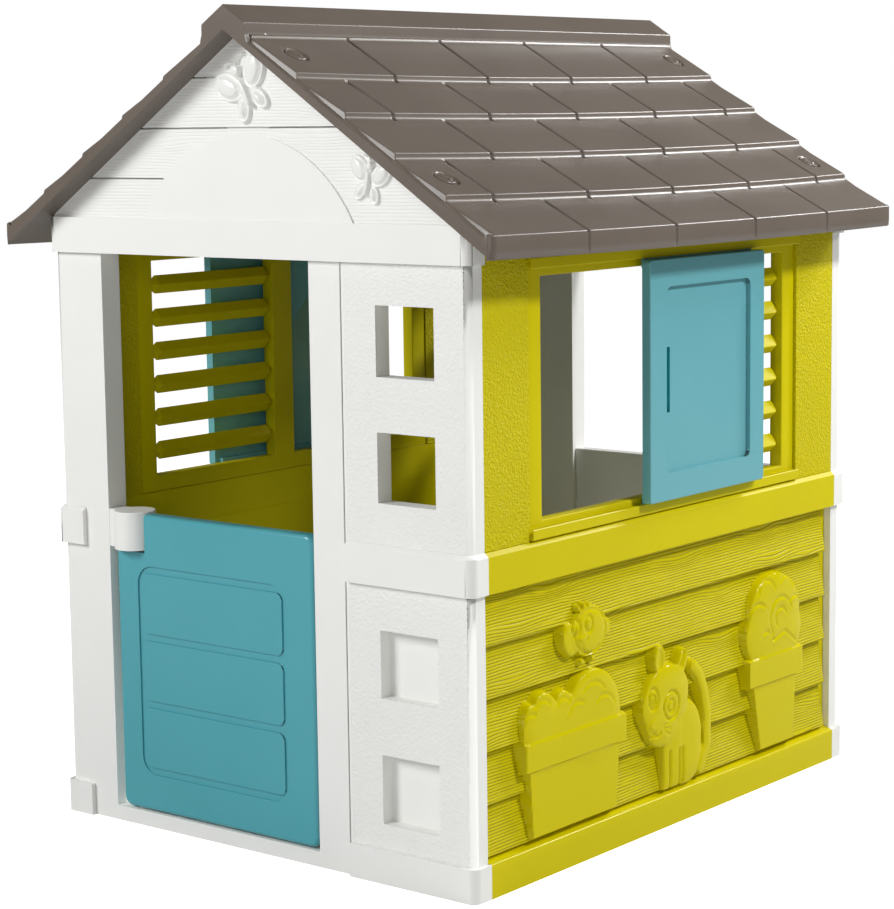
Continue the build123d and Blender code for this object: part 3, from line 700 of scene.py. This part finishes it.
def roof_section(y):
    """One cross-section of the right half, with its joints, rim, sag and lock seats."""
    x, z, course = profile.T.copy()
    for number in range(COURSES):
        here = course == number
        for joint in joint_places(number):
            cut = math.exp(-(((y - joint) / JOINT_WIDTH) ** 4)) * JOINT_DEPTH
            x[here] -= cut * 0.5
            z[here] -= cut * 0.85
    for lock in LOCK_X:
        reach = np.hypot((profile[:, 0] - lock) * 1.13, abs(y) - LOCK_Y)
        seat = (1 - smooth_step((reach - LOCK_RADIUS - 1) / LOCK_SEAT[1])) * (course >= 0)
        z -= seat * LOCK_SEAT[0]
    along = (y / roof_end) ** 2
    below_cap = smooth_step((profile[:, 0] - first_x) / course_pitch)
    eave = smooth_step((profile[:, 0] - course_tip(4)[0]) / course_pitch)
    sag = COURSE_SAG * below_cap * (1 - along) - eave * (COURSE_SAG * (1 - along) + EAVE_SAG * along)
    x += sag
    z -= sag * course_fall
    turn = np.clip((abs(y) - (roof_end - RIM - RIM_ROUNDING)) / RIM_ROUNDING, 0, 1)
    past_rim = 1 - np.sqrt(1 - turn**2)
    rim_level = ridge_top - COURSE_DROP - course_fall * x - COURSE_STEP - 1.6
    lip = profile[:, 0] > eave_x - EAVE_LIP
    tiles = (profile[:, 0] > first_x) & (profile[:, 0] < eave_x - EAVE_LIP)
    z = np.where(tiles, z + past_rim * (np.minimum(z, rim_level) - z), z)
    corner = np.clip((abs(y) - (roof_end - EAVE_CORNER)) / EAVE_CORNER, 0, 1)
    x -= lip * EAVE_CORNER * (1 - np.sqrt(1 - corner**2 * 0.98)) * 0.8
    z -= END_ROUNDING[0] * smooth_step((abs(y) - (roof_end - END_ROUNDING[1])) / END_ROUNDING[1])
    top = np.stack([np.minimum(x, eave_x), np.full_like(x, y), z], axis=1)
    under = np.array([[eave_x - 14, y, eave_bottom + 7.5], [0, y, under_ridge]])
    return np.concatenate([top, under]) * MM


half = skin_over("roof_half", np.array([roof_section(y) for y in roof_stations()]), roof_brown, 42)
piece("shingle_roof_right", half, "house", "roof_plastic", "roof_right")
piece("shingle_roof_left", turned(half, "roof_half_left"), "house", "roof_plastic", "roof_left")

# %% [markdown]
# ## Repeating a piece with Geometry Nodes
# Locks and louvre slats are the same thing again and again along a line. A small Geometry Nodes
# tree makes a row of points and puts a copy on each, so a row is made by four inputs. The result
# is turned into a plain mesh, because an exported model can't hold live instances.

# %% Row of copies
def row_tree():
    """Geometry Nodes: copies of one object along a line, made real, with a finish."""
    tree = bpy.data.node_groups.new("row_of_copies", "GeometryNodeTree")
    face = tree.interface
    face.new_socket("Geometry", in_out="OUTPUT", socket_type="NodeSocketGeometry")
    for label, kind in (("Part", "Object"), ("Count", "Int"), ("Step", "Vector"), ("Finish", "Material")):
        face.new_socket(label, in_out="INPUT", socket_type="NodeSocket" + kind)
    add = tree.nodes.new
    group_in = add("NodeGroupInput")
    group_out = add("NodeGroupOutput")
    line = add("GeometryNodeMeshLine")
    part = add("GeometryNodeObjectInfo")
    copies = add("GeometryNodeInstanceOnPoints")
    real = add("GeometryNodeRealizeInstances")
    finish = add("GeometryNodeSetMaterial")
    for source, target in (
        (group_in.outputs["Count"], line.inputs["Count"]),
        (group_in.outputs["Step"], line.inputs["Offset"]),
        (group_in.outputs["Part"], part.inputs["Object"]),
        (line.outputs["Mesh"], copies.inputs["Points"]),
        (part.outputs["Geometry"], copies.inputs["Instance"]),
        (copies.outputs["Instances"], real.inputs["Geometry"]),
        (real.outputs["Geometry"], finish.inputs["Geometry"]),
        (group_in.outputs["Finish"], finish.inputs["Material"]),
        (finish.outputs["Geometry"], group_out.inputs["Geometry"]),
    ):
        tree.links.new(source, target)
    return tree


repeat_in_row = row_tree()


def row_of(name, mesh, count, step, material):
    """A plain mesh of several copies of a mesh along a line, the first where the mesh is."""
    part = in_scene(name + "_part", mesh)
    carrier = in_scene(name + "_row", bpy.data.meshes.new(name + "_row"))
    repeat = carrier.modifiers.new("row", "NODES")
    repeat.node_group = repeat_in_row
    sockets = {item.name: item.identifier for item in repeat_in_row.interface.items_tree}
    for label, value in (("Part", part), ("Count", count), ("Step", step), ("Finish", material)):
        repeat[sockets[label]] = value
    row = applied(carrier, name)
    bpy.data.objects.remove(part)
    return row


def joined(name, meshes):
    """One mesh out of several."""
    shell = bmesh.new()
    for mesh in meshes:
        shell.from_mesh(mesh)
    return mesh_of(shell, name, *meshes[0].materials)


print("row tree nodes", len(repeat_in_row.nodes))

# %% [markdown]
# ## Roof locks
# A quarter-turn lock shows as a round head in its seat, with a raised rim and a short grip bar. Its
# head is a disc of rings whose height follows a rule, laid on the slope of the shingles.

# %% Roof locks
LOCK_RIM = 15.2
GRIP_TURN = 0.6


def lock_head():
    """A lock's head round the origin, pointing up, in metres."""
    radii = (1.5, 4, 6.5, 9, 11.5, 13, 14.2, LOCK_RIM, 16.2, 17.0, 17.3)
    turns = np.linspace(0, 2 * math.pi, 49)[:-1]
    rings = []
    for radius in radii:
        across = radius * np.cos(turns)
        along = radius * np.sin(turns)
        rim = math.exp(-(((radius - LOCK_RIM) / 1.3) ** 2)) * 1.5
        grip = 1 - smooth_step((np.abs(along) - 1.6) / 1.8)
        grip = grip * (1 - smooth_step((np.abs(across) - 9) / 2.5))
        height = rim + 2.8 * grip - 2.0 * smooth_step((radius - 16.4) / 0.9)
        rings.append(np.stack([across, along, np.broadcast_to(height, across.shape)], axis=1))
    foot = rings[-1].copy()
    foot[:, 2] = -4.0
    return skin_over("lock_head", np.array(rings + [foot]) * MM, roof_brown)


def lock_on_roof(x):
    """A lock's head on the slope of its course, at the front end of the right half."""
    number = int((x - first_x) // course_pitch)
    start = course_start(number)
    slope = course_slope(number)
    place = Vector((x, -LOCK_Y, start[1] - slope * (x - start[0]) - 1.0)) * MM
    tilt = Matrix.Rotation(math.atan(slope), 4, "Y")
    head = lock_head()
    head.transform(Matrix.Translation(place) @ tilt @ Matrix.Rotation(GRIP_TURN, 4, "Z"))
    return head


lock_rows = [row_of("locks", lock_on_roof(x), 2, (0, 2 * LOCK_Y * MM, 0), roof_brown) for x in LOCK_X]
right_locks = joined("roof_locks_right", lock_rows)
all_locks = joined("roof_lock_heads", [right_locks, turned(right_locks, "roof_locks_left")])
piece("roof_lock_heads", dressed(all_locks, roof_brown, 60), "house", "lock_plastic", "roof_locks")

# %% [markdown]
# ## Lower side walls
# Planks that lap over each other run along the wall, and plants, pots, a bird and a cat stand out
# of them. All of it is one moulded face without undercuts, so it can be written as a height over
# the wall: planks first, then each figure raised out of them with drafted sides, as a mould needs.
# A figure is a distance to an outline. That makes it easy to unite shapes and to cut lines.

# %% Outlines as distances, in millimetres: below zero is inside
def oval(y, z, centre, reach, lean=0.0):
    turn = math.radians(lean)
    across = (y - centre[0]) * math.cos(turn) + (z - centre[1]) * math.sin(turn)
    up = (z - centre[1]) * math.cos(turn) - (y - centre[0]) * math.sin(turn)
    return (np.hypot(across / reach[0], up / reach[1]) - 1) * min(reach)


def tapered(y, z, top, foot, low, high):
    """A pot's body or rim: straight sides from its foot to its top."""
    share = np.clip((z - low) / (high - low), 0, 1)
    front = foot[0] + (top[0] - foot[0]) * share
    rear = foot[1] + (top[1] - foot[1]) * share
    return np.maximum(np.maximum(front - y, y - rear), np.maximum(low - z, z - high))


def stroke(y, z, points):
    """Distance to a line through points."""
    nearest = np.full(np.shape(y), 1e3)
    for (y0, z0), (y1, z1) in zip(points, points[1:]):
        length = (y1 - y0) ** 2 + (z1 - z0) ** 2
        share = np.clip(((y - y0) * (y1 - y0) + (z - z0) * (z1 - z0)) / length, 0, 1)
        nearest = np.minimum(nearest, np.hypot(y - y0 - share * (y1 - y0), z - z0 - share * (z1 - z0)))
    return nearest


def arc_points(centre, radius, start, end, count=9):
    angles = np.radians(np.linspace(start, end, count))
    return [(centre[0] + radius * math.cos(a), centre[1] + radius * math.sin(a)) for a in angles]


FILLET = 1.8


class Face:
    """A moulded face: a grid of heights that figures are raised out of and lines are cut into."""

    def __init__(self, across, up, height, foot):
        self.across = across
        self.up = up
        self.height = height
        self.foot = foot

    def lift(self, distance, top, dome=0.0, reach=30.0, draft=6.0):
        """Raises the inside of an outline to a level with drafted sides and a domed top."""
        side = smooth_step(-distance / draft)
        crown = np.clip(-distance / reach, 0, 1)
        level = top + dome * np.sqrt(1 - (1 - crown) ** 2)
        raised = self.foot + (level - self.foot) * side
        self.height = (self.height + raised + np.hypot(self.height - raised, FILLET * side)) / 2

    def cut(self, distance, depth, width):
        """Cuts a soft groove along a line."""
        self.height = self.height - depth * np.exp(-((distance / width) ** 2))

    def bead(self, distance, rise, width):
        """Lays a soft bead along a line."""
        self.height = self.height + rise * np.exp(-((distance / width) ** 2))


print("figure helpers")

# %% Planks of the lower wall
PLANKS = 5
FIRST_PLANK = 60.0
PLANK_LAP = 12.6
PLANK_END = 17.0
GRID = 2.2

wall_face = half_width / MM
wall_back = wall_face - PLANK_LAP
band_face = wall_face + SIDE_BAND_PROUD / MM
wall_inner = base_low.x / MM
wall_end = base_high.y / MM
wall_top = base_high.z / MM
relief_face = base_high.x / MM
plank_pitch = (wall_top - FIRST_PLANK) / PLANKS


def plank_rows():
    """Rows up the wall: face distance and height of the bands and the lapped planks."""
    base = BASE_BAND / MM
    rows = [(band_face, z) for z in np.linspace(0, base - 2, 8)]
    rows += [(band_face - 0.5, base - 0.7), (band_face - 2, base), (band_face - 8, base + 2.6)]
    rows += [(wall_back + 3, FIRST_PLANK - 2.6)]
    for number in range(PLANKS):
        low = FIRST_PLANK + number * plank_pitch
        rows += [(wall_back, low - 1.2), (wall_back + 0.4, low - 0.5), (wall_face - 2.2, low)]
        rows += [(wall_face - 0.7, low + 0.7), (wall_face - 0.1, low + 2.4)]
        climb = np.arange(low + 4, low + plank_pitch - 2, GRID)
        rows += [(wall_face - PLANK_LAP * (z - low) / plank_pitch, z) for z in climb]
    rows += [(wall_back, wall_top)]
    return np.array(rows)


def plank_face():
    """The wall's face before any figure is raised."""
    rows = plank_rows()
    plank_edge = wall_end - PLANK_END
    along = np.arange(-wall_end, plank_edge - 1, GRID)
    ends = (plank_edge - 0.8, plank_edge, plank_edge + 0.6, wall_end - 8, wall_end)
    along = np.concatenate([along, ends])
    across, up = np.meshgrid(along, rows[:, 1], indexing="ij")
    height = np.broadcast_to(rows[:, 0], across.shape).copy()
    strip = (across > plank_edge + 0.1) & (up > FIRST_PLANK - 3)
    height[strip] = wall_back
    return Face(across, up, height, wall_back - 4)


print("plank rows", len(plank_rows()))

# %% [markdown]
# ## Figures on the side wall
# The figures are plain and friendly: a planter with a round bush, a chick perched on it, a sitting
# cat with large ringed eyes, and a tall pot with a leafy tree. Each has its own short function.
# A dome makes leaves and heads swell, and grooves draw eyes, leaves and toes.

# %% Pots, bush and tree
POT_FOOT = 60.0
BODY = wall_face + 3.0
LIMB = wall_face + 2.0
POT_BODY = wall_face + 7.5
POT_RIM = wall_face + 10.5


def leaf_lines(face, lines, depth, rise, width):
    """Leaves on a crown: soft grooves, each with a bead below it."""
    for points in lines:
        face.cut(stroke(face.across, face.up, points), depth * (face.height > wall_face - 1), 2.6)
        face.bead(stroke(face.across, face.up + 5.0, points), rise * (face.height > wall_face - 1), width)


def pot(face, top, foot, body_top, rim, rim_low, rim_top):
    """A tapered pot and the rim that stands out of it."""
    y, z = face.across, face.up
    face.lift(tapered(y, z, top, foot, POT_FOOT, body_top), POT_BODY, 0.5, 40, 5)
    face.lift(tapered(y, z, rim, rim, rim_low, rim_top), POT_RIM, 0.5, 12, 5)


def planter_and_bush(face):
    """A wide planter with four round domes of leaves."""
    y, z = face.across, face.up
    domes = (((-228, 216), (74, 77)), ((-302, 222), (36, 54)), ((-350, 216), (44, 66)))
    for centre, reach in domes + (((-381, 222), (25, 49)),):
        face.lift(oval(y, z, centre, reach), BODY, 6, 30, 5)
    lines = (
        arc_points((-232, 232), 38, 40, 130),
        arc_points((-204, 216), 30, 30, 130),
        arc_points((-270, 222), 26, 60, 150),
        arc_points((-306, 240), 20, 40, 140),
        arc_points((-356, 244), 22, 40, 140),
        arc_points((-384, 232), 18, 60, 160),
    )
    leaf_lines(face, lines, 1.5, 0.6, 3.0)
    pot(face, (-394, -158), (-386, -166), 172, (-405, -143), 161, 212)


def tree_in_pot(face):
    """A tall round crown of leaves in a narrow pot."""
    y, z = face.across, face.up
    crown = np.minimum(oval(y, z, (290, 284), (84, 74)), oval(y, z, (288, 256), (92, 70)))
    face.lift(crown, BODY, 7, 46, 5)
    lines = [arc_points((304, 278), radius, 20, 220) for radius in (17, 35)]
    lines += [arc_points((262, 322), 24, 20, 170), arc_points((322, 326), 20, 0, 140)]
    lines += [arc_points((236, 284), 26, 50, 170), arc_points((350, 284), 24, 10, 130)]
    lines += [[(251, 259), (264, 262), (282, 243)], [(282, 243), (316, 254), (353, 231)]]
    leaf_lines(face, lines, 2.0, 0.8, 3.2)
    pot(face, (216, 361), (240, 352), 182, (201, 378), 170, 224)


print("pot rims stand out", round(POT_RIM - wall_face, 1))

# %% Chick and cat
def chick(face):
    """A chick with a tuft, two wings, two feet, round eyes and a beak."""
    y, z = face.across, face.up
    for centre, reach in (((-263, 386), (7, 9)), ((-249, 388), (7, 9)), ((-236, 386), (7, 8))):
        face.lift(oval(y, z, centre, reach), LIMB, 4, 6, 4)
    for centre in ((-256, 305), (-228, 305)):
        face.lift(oval(y, z, centre, (10, 9)), BODY, 4, 6, 5)
    face.lift(oval(y, z, (-284, 342), (23, 32), 16), LIMB, 5, 14, 5)
    face.lift(oval(y, z, (-190, 346), (12, 20), -8), LIMB, 4, 10, 4)
    body = oval(y, z, (-237, 348), (50, 42))
    face.lift(body, BODY, 7, 30, 5)
    face.cut(body + 9, 2.2, 2.0)
    for centre in ((-273, 358), (-243, 360)):
        face.cut(oval(y, z, centre, (9, 12)), 2.2, 1.8)
        face.bead(oval(y, z, centre, (3, 4)) + 1, 2.0, 3.0)
    face.bead(oval(y, z, (-258, 337), (7, 5)) + 1, 2.0, 3.0)
    face.cut(stroke(y, z, [(-268, 338), (-258, 331), (-247, 339)]), 2.4, 2.0)
    face.cut(stroke(y, z, arc_points((-236, 340), 26, 215, 320)), 1.8, 2.0)


def cat(face):
    """A sitting cat: tail, haunch, front legs, ears, then the head with its ringed eyes."""
    y, z = face.across, face.up
    tail = stroke(y, z, [(66, 74), (84, 110), (86, 158), (76, 200), (62, 228), (46, 242)]) - 15
    face.lift(tail, LIMB, 6, 15, 5)
    haunch = np.minimum(oval(y, z, (20, 130), (54, 70)), oval(y, z, (24, 100), (52, 46)))
    face.lift(haunch, LIMB, 6, 34, 5)
    face.lift(tapered(y, z, (-44, 12), (-44, 12), 56, 170), BODY, 4, 16, 5)
    for place in (-22, 4, 14):
        face.cut(stroke(y, z, [(place, 62), (place - 1, 118)]), 4.0, 2.4)
    face.lift(oval(y, z, (-49, 270), (19, 29), -8), LIMB, 5, 16, 5)
    face.cut(oval(y, z, (-48, 270), (6, 14), -8) + 3, 3.0, 4.5)
    face.lift(oval(y, z, (12, 254), (17, 31), -30), LIMB, 6, 14, 5)
    face.cut(stroke(y, z, [(8, 250), (19, 269)]), 5.0, 3.4)
    head = np.minimum(oval(y, z, (-34, 204), (70, 57), 16), oval(y, z, (-44, 176), (50, 50)))
    face.lift(head, BODY, 8, 44, 5)
    for centre, reach in (((-72, 212), (11, 16)), ((-24, 194), (21, 22))):
        eye = oval(y, z, centre, reach)
        face.cut(eye, 3.0, 2.0)
        face.bead(eye + 5, 1.0, 2.4)
        pupil = oval(y, z, (centre[0] - 1, centre[1] - 1), (reach[0] * 0.42, reach[1] * 0.45))
        face.cut(pupil, 2.6, 1.8)
    face.bead(oval(y, z, (-70, 171), (8, 5)), 2.0, 3.2)
    for cheek in (-79, -61):
        face.cut(stroke(y, z, arc_points((cheek, 160), 9, 200, 340)), 2.4, 1.8)
    for rise in (-7, 0, 7):
        face.cut(stroke(y, z, [(-28, 158 + rise * 1.4), (-46, 162 + rise * 0.5)]), 1.6, 1.5)


print("figures drawn: chick and cat")

# %% Lower side wall
def lower_wall_mesh():
    """The planks with every figure raised out of them, closed by a flat inner side."""
    plank_finish = green_planks(half_width, PLANK_LAP * MM, FIRST_PLANK * MM, plank_pitch * MM, BASE_BAND)
    face = plank_face()
    for figure in (tree_in_pot, planter_and_bush, cat, chick):
        figure(face)
    face.height = np.minimum(face.height, relief_face)
    front = np.stack([face.height, face.across, face.up], axis=2)
    along = face.across[:, :1]
    inner = np.full_like(along, wall_inner)
    back_top = np.stack([inner, along, np.full_like(along, wall_top)], axis=2)
    back_foot = np.stack([inner, along, np.zeros_like(along)], axis=2)
    sections = np.concatenate([front, back_top, back_foot], axis=1) * MM
    return skin_over("lower_side_wall", sections, plank_finish, 48)


right_wall = lower_wall_mesh()
left_wall = turned(right_wall, "lower_side_wall_left")
piece("planked_wall_right", right_wall, "house", "green_wall", "right_lower_wall")
piece("planked_wall_left", left_wall, "house", "green_wall", "left_lower_wall")

# %% [markdown]
# ## Window frames and louvres
# The frame is a flat moulding with an open window at the front and a louvre at the rear. Its plan
# is a small table of cells, filled or open, which keeps every face flat and every edge square until
# the bevel softens it. The slats repeat, so one is skinned over sections that shrink at its ends,
# and the row tree repeats it. Two channelled rails carry the shutter.

# %% Window frame
FRAME_THICK = 23.0
FRAME_BORDER = 36.0
FRAME_INSET = 5.0
OPENING_WIDTH = 328.0
MULLION = 49.0
SILL_RISE = 27.0
LINTEL = 879.0
SLATS = 6
SLAT_HEIGHT = 30.0
SLAT_SETBACK = 3.0
HIP = 15.0
HIP_SHRINK = 0.3
RAIL_HEIGHT = 16.0
RAIL_PROUD = 11.0
RAIL_CHANNEL = (3.0, 9.0)
RAIL_CHANNEL_DEPTH = 10.0
RAIL_EDGE = 1.2

frame_face = half_width / MM - FRAME_INSET
frame_front = window_low.y / MM
frame_rear = window_high.y / MM
frame_low = window_low.z / MM
frame_top = window_high.z / MM
sill = frame_low + SILL_RISE
opening = (frame_front + FRAME_BORDER, frame_front + FRAME_BORDER + OPENING_WIDTH)
louvre = (opening[1] + MULLION, frame_rear - FRAME_BORDER)


def cell_slab(name, along, up, open_cells, back, front, material, bevel):
    """A flat slab made of a table of cells, some of them open, with its edges softened."""
    shell = bmesh.new()
    corners = {}

    def corner(i, j, depth):
        key = (i, j, depth)
        if key not in corners:
            corners[key] = shell.verts.new((depth * MM, along[i] * MM, up[j] * MM))
        return corners[key]

    solid = {(i, j) for i in range(len(along) - 1) for j in range(len(up) - 1)} - set(open_cells)
    for i, j in solid:
        ring = ((i, j), (i + 1, j), (i + 1, j + 1), (i, j + 1))
        for depth in (back, front):
            shell.faces.new([corner(a, b, depth) for a, b in ring])
        for side, (di, dj) in enumerate(((0, -1), (1, 0), (0, 1), (-1, 0))):
            if (i + di, j + dj) not in solid:
                (a, b), (c, d) = ring[side], ring[(side + 1) % 4]
                edge = [corner(a, b, back), corner(c, d, back), corner(c, d, front), corner(a, b, front)]
                shell.faces.new(edge)
    bmesh.ops.recalc_face_normals(shell, faces=shell.faces)
    sharp = [e for e in shell.edges if e.calc_face_angle() > 1.0]
    bmesh.ops.bevel(shell, geom=sharp, offset=bevel * MM, segments=3, profile=0.5, affect="EDGES")
    return dressed(mesh_of(shell, name), material, 50)


def bar(name, outline, start, end, material):
    """A straight bar along the house with an outline in X and Z, in millimetres."""
    sections = [[(x, y, z) for x, z in outline] for y in (start, end)]
    return skin_over(name, np.array(sections) * MM, material, 30)


def slat():
    """The lowest louvre slat: a four-sided section with hipped ends."""
    gap = (LINTEL - sill - SLATS * SLAT_HEIGHT) / (SLATS + 1)
    low = sill + gap
    tip = frame_face - SLAT_SETBACK
    outline = ((0, 12.5), (0, 11), (-10.4, 0), (-11.6, 0), (-22, 14.4), (-22, 15.6), (-11.8, 30), (-10.4, 30))
    middle = np.array((-11, SLAT_HEIGHT / 2))
    front, rear = louvre[0] - 1, louvre[1] + 1
    sections = []
    for y, size in ((front, HIP_SHRINK), (front + HIP, 1.0), (rear - HIP, 1.0), (rear, HIP_SHRINK)):
        shape = middle + (np.array(outline) - middle) * size
        sections.append([(tip + x, y, low + z) for x, z in shape])
    return skin_over("slat", np.array(sections) * MM, green, 20), SLAT_HEIGHT + gap


def rail(foot, inward):
    """A channelled rail whose foot is at a height; inward is the way from its mouth into it."""
    mouth = foot - inward * RAIL_HEIGHT
    groove = mouth + inward * RAIL_CHANNEL_DEPTH
    inner, outer = frame_face - 1, frame_face + RAIL_PROUD
    near, far = (frame_face + place for place in RAIL_CHANNEL)
    outline = ((inner, foot), (outer - RAIL_EDGE, foot), (outer, foot - inward * RAIL_EDGE))
    outline += ((outer, mouth + inward * RAIL_EDGE), (outer - 1, mouth), (far, mouth))
    outline += ((far, groove), (near, groove), (near, mouth), (inner, mouth))
    return bar("rail", outline, frame_front, frame_rear, green)


def window_meshes():
    """Frame, rails and louvre of the right window as one mesh each."""
    cells = cell_slab(
        "window_frame",
        (frame_front, opening[0], opening[1], louvre[0], louvre[1], frame_rear),
        (frame_low, sill, LINTEL, frame_top),
        ((1, 1), (3, 1)),
        frame_face - FRAME_THICK,
        frame_face,
        green,
        2.0,
    )
    rails = [rail(frame_low + 2, -1), rail(LINTEL + 12 + RAIL_HEIGHT, 1)]
    blade, step = slat()
    louvres = row_of("louvre_slats", blade, SLATS, (0, 0, step * MM), green)
    return cells, joined("shutter_rails", rails), louvres


for label, mesh in zip(("window_frame", "shutter_rails", "louvre_slats"), window_meshes()):
    piece(label + "_right", mesh, "house", "green_wall", "right_window_frame")
    piece(label + "_left", turned(mesh, label + "_turned"), "house", "green_wall", "left_window_frame")

# %% [markdown]
# ## Front and rear walls
# Posts, panels and bands are exact in the CAD model and only need soft edges and their finish. The
# rear wall is made of the same mouldings as the front one, so one function dresses both.

# %% Wall mouldings
PLASTER_START = 4 * MM
PLASTER_END = 8 * MM
panel_edges = (panel_low.x + PLASTER_START, half_width - PLASTER_END)
low_plaster = white_plaster(*panel_edges, BASE_BAND, seam - MM)
high_plaster = white_plaster(*panel_edges, band_top, gable_low.z - MM)
leather = green_leather(band_top)

for node, edge, material, slot_name in (
    ("door_frame", 2.0, white, "white_wall"),
    ("front_lower_panel", 2.5, low_plaster, "white_wall"),
    ("front_upper_panel", 2.5, high_plaster, "white_wall"),
    ("rear_frame", 2.0, white, "white_wall"),
    ("rear_lower_panel", 2.5, low_plaster, "white_wall"),
    ("rear_upper_panel", 2.5, high_plaster, "white_wall"),
    ("rear_infill_panel", 2.0, white, "white_wall"),
    ("right_upper_wall", 2.0, leather, "green_wall"),
    ("left_upper_wall", 2.0, leather, "green_wall"),
):
    soft_piece(node, "house", edge, material, slot_name)

# %% [markdown]
# ## Gables
# The gable keeps its CAD shape, with the two butterflies pressed flat, because they deserve a finer
# surface of their own. Each butterfly is a small patch that comes out of the gable's face: wings with
# raised rims and swelling middles, a body, a head and two feelers.

# %% Gable panels
GABLE_BAND = 55 * MM
wood_white = white_planks(gable_low.z + GABLE_BAND)


def press_butterflies(shell):
    """Moves what stands furthest out of the gable back into its face."""
    for vertex in shell.verts:
        if abs(vertex.co.y) > half_depth + BAND_PROUD + MM:
            vertex.co.y = math.copysign(half_depth, vertex.co.y)


for node in ("front_gable", "rear_gable"):
    panel = softened(node, node + "_panel", 1.5 * MM, wood_white, press_butterflies)
    piece(node + "_panel", panel, "house", "white_wall", node)

# %% Butterflies
BUTTERFLIES = (((10.0, 1147.0), 1.0, 28.0), ((240.0, 1016.0), 0.72, -12.0))
BUTTERFLY_PROUD = 13.5
WING_PATCH = 66.0
WING_GRID = 1.3


def butterfly(centre, size, lean):
    """A butterfly on the front gable, as a patch whose edge is hidden in the gable's face."""
    steps = np.arange(-WING_PATCH, WING_PATCH + WING_GRID, WING_GRID)
    u, v = np.meshgrid(steps, steps, indexing="ij")
    face = Face(u, v, np.full(u.shape, -3.0), -3.0)
    wings = [((side * 28, 20), (23, 33), -side * 40) for side in (-1, 1)]
    wings += [((side * 17, -21), (15, 26), side * 26) for side in (-1, 1)]
    for place, reach, tilt in wings:
        edge = oval(u, v, place, reach, tilt)
        face.lift(edge, 6.5, 1.0, 6, 4.5)
    for place, reach, tilt in wings:
        edge = oval(u, v, place, reach, tilt)
        face.cut(edge + 6.0, 2.6, 1.9)
        inner = oval(u, v, place, (reach[0] - 8, reach[1] - 8), tilt)
        face.lift(inner, 5.5, 6.0, 16, 4)
    face.lift(oval(u, v, (0, -4), (7, 32)), 8, 5.5, 7, 3)
    face.lift(oval(u, v, (0, 32), (9, 10)), 8, 5.0, 8, 3)
    for side in (-1, 1):
        feeler = stroke(u, v, arc_points((side * 14, 38), 13, 90 + side * 90, 90 - side * 30))
        face.lift(feeler - 3.0, 5, 2.5, 3, 2.5)
    turn = math.radians(lean)
    height = np.minimum(face.height * size, BUTTERFLY_PROUD)
    x = centre[0] + size * (u * math.cos(turn) - v * math.sin(turn))
    z = centre[1] + size * (u * math.sin(turn) + v * math.cos(turn))
    y = -half_depth / MM - height
    back = np.full_like(x[:, :1], 6 - half_depth / MM)
    front = np.stack([x, y, z], axis=2)
    top = np.stack([x[:, -1:], back, z[:, -1:]], axis=2)
    foot = np.stack([x[:, :1], back, z[:, :1]], axis=2)
    sections = np.concatenate([front, top, foot], axis=1) * MM
    return skin_over("butterfly", sections, glossy_white, 60)


butterflies = joined("butterflies", [butterfly(*each) for each in BUTTERFLIES])
butterflies = dressed(butterflies, glossy_white, 60)
piece("butterflies_front", butterflies, "house", "white_wall", "front_gable")
piece("butterflies_rear", turned(butterflies, "butterflies_back"), "house", "white_wall", "rear_gable")

# %% [markdown]
# ## Door, bracket and shutters
# The door and the shutters are the pieces that children move, and the bracket holds the hinge. All
# of them keep their CAD shape, which the hinge and the rails need, and get rounder edges, because
# light runs along them on the real thing.

# %% Moving pieces
for node, body, edge, material, slot_name in (
    ("door", "door", 1.0, turquoise, "turquoise_panel"),
    ("door_hinge_bracket", "house", 3.0, white, "white_wall"),
    ("right_shutter", "right_shutter", 2.6, shutter_plastic("right_shutter"), "shutter_plastic"),
    ("left_shutter", "left_shutter", 2.6, shutter_plastic("left_shutter"), "shutter_plastic"),
):
    soft_piece(node, body, edge, material, slot_name)

# %% [markdown]
# ## Hidden fixings
# Pegs, pins and screws sit inside the joints. Their CAD shapes are right as they are, so they keep
# their meshes and only take a finish.

# %% Fixings
for node, material in (
    ("door_hinge_pins", peg_grey),
    ("bracket_screws", steel),
    ("ridge_pegs", peg_grey),
    ("corner_pegs_lower", peg_grey),
    ("corner_pegs_upper", peg_grey),
    ("stacking_pegs", peg_grey),
    ("gable_pegs", peg_grey),
    ("infill_pegs", peg_grey),
):
    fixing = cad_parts[node]
    fixing.data.materials.clear()
    fixing.data.materials.append(material)
    print(node, "keeps its mesh")

# %% [markdown]
# ## The floor
# One pale disc, wide enough to reach past every edge of the picture. It is staging, not part of the
# house. It glows towards the camera only, so it looks like seamless white paper and still casts no
# light of its own on the walls.

# %% Floor
FLOOR_RADIUS = 14.0


def floor_disc():
    shell = bmesh.new()
    bmesh.ops.create_circle(shell, cap_ends=True, segments=96, radius=FLOOR_RADIUS)
    finish = Finish("pale_floor", (0.6, 0.6, 0.6), 0.9, Emission_Strength=0.95, Specular_IOR_Level=0.0)
    seen = finish.node("LightPath", {}, {}, "Is Camera Ray")
    finish.set_surface("Emission Color", finish.blend_colour(seen, (0, 0, 0), (1, 1, 1)))
    finish.vary(0.8, (0.59, 0.59, 0.59), (0.61, 0.61, 0.61), 0.85, 0.95)
    return in_scene("floor", mesh_of(shell, "floor", finish.material))


floor_disc()
print("floor radius", FLOOR_RADIUS)
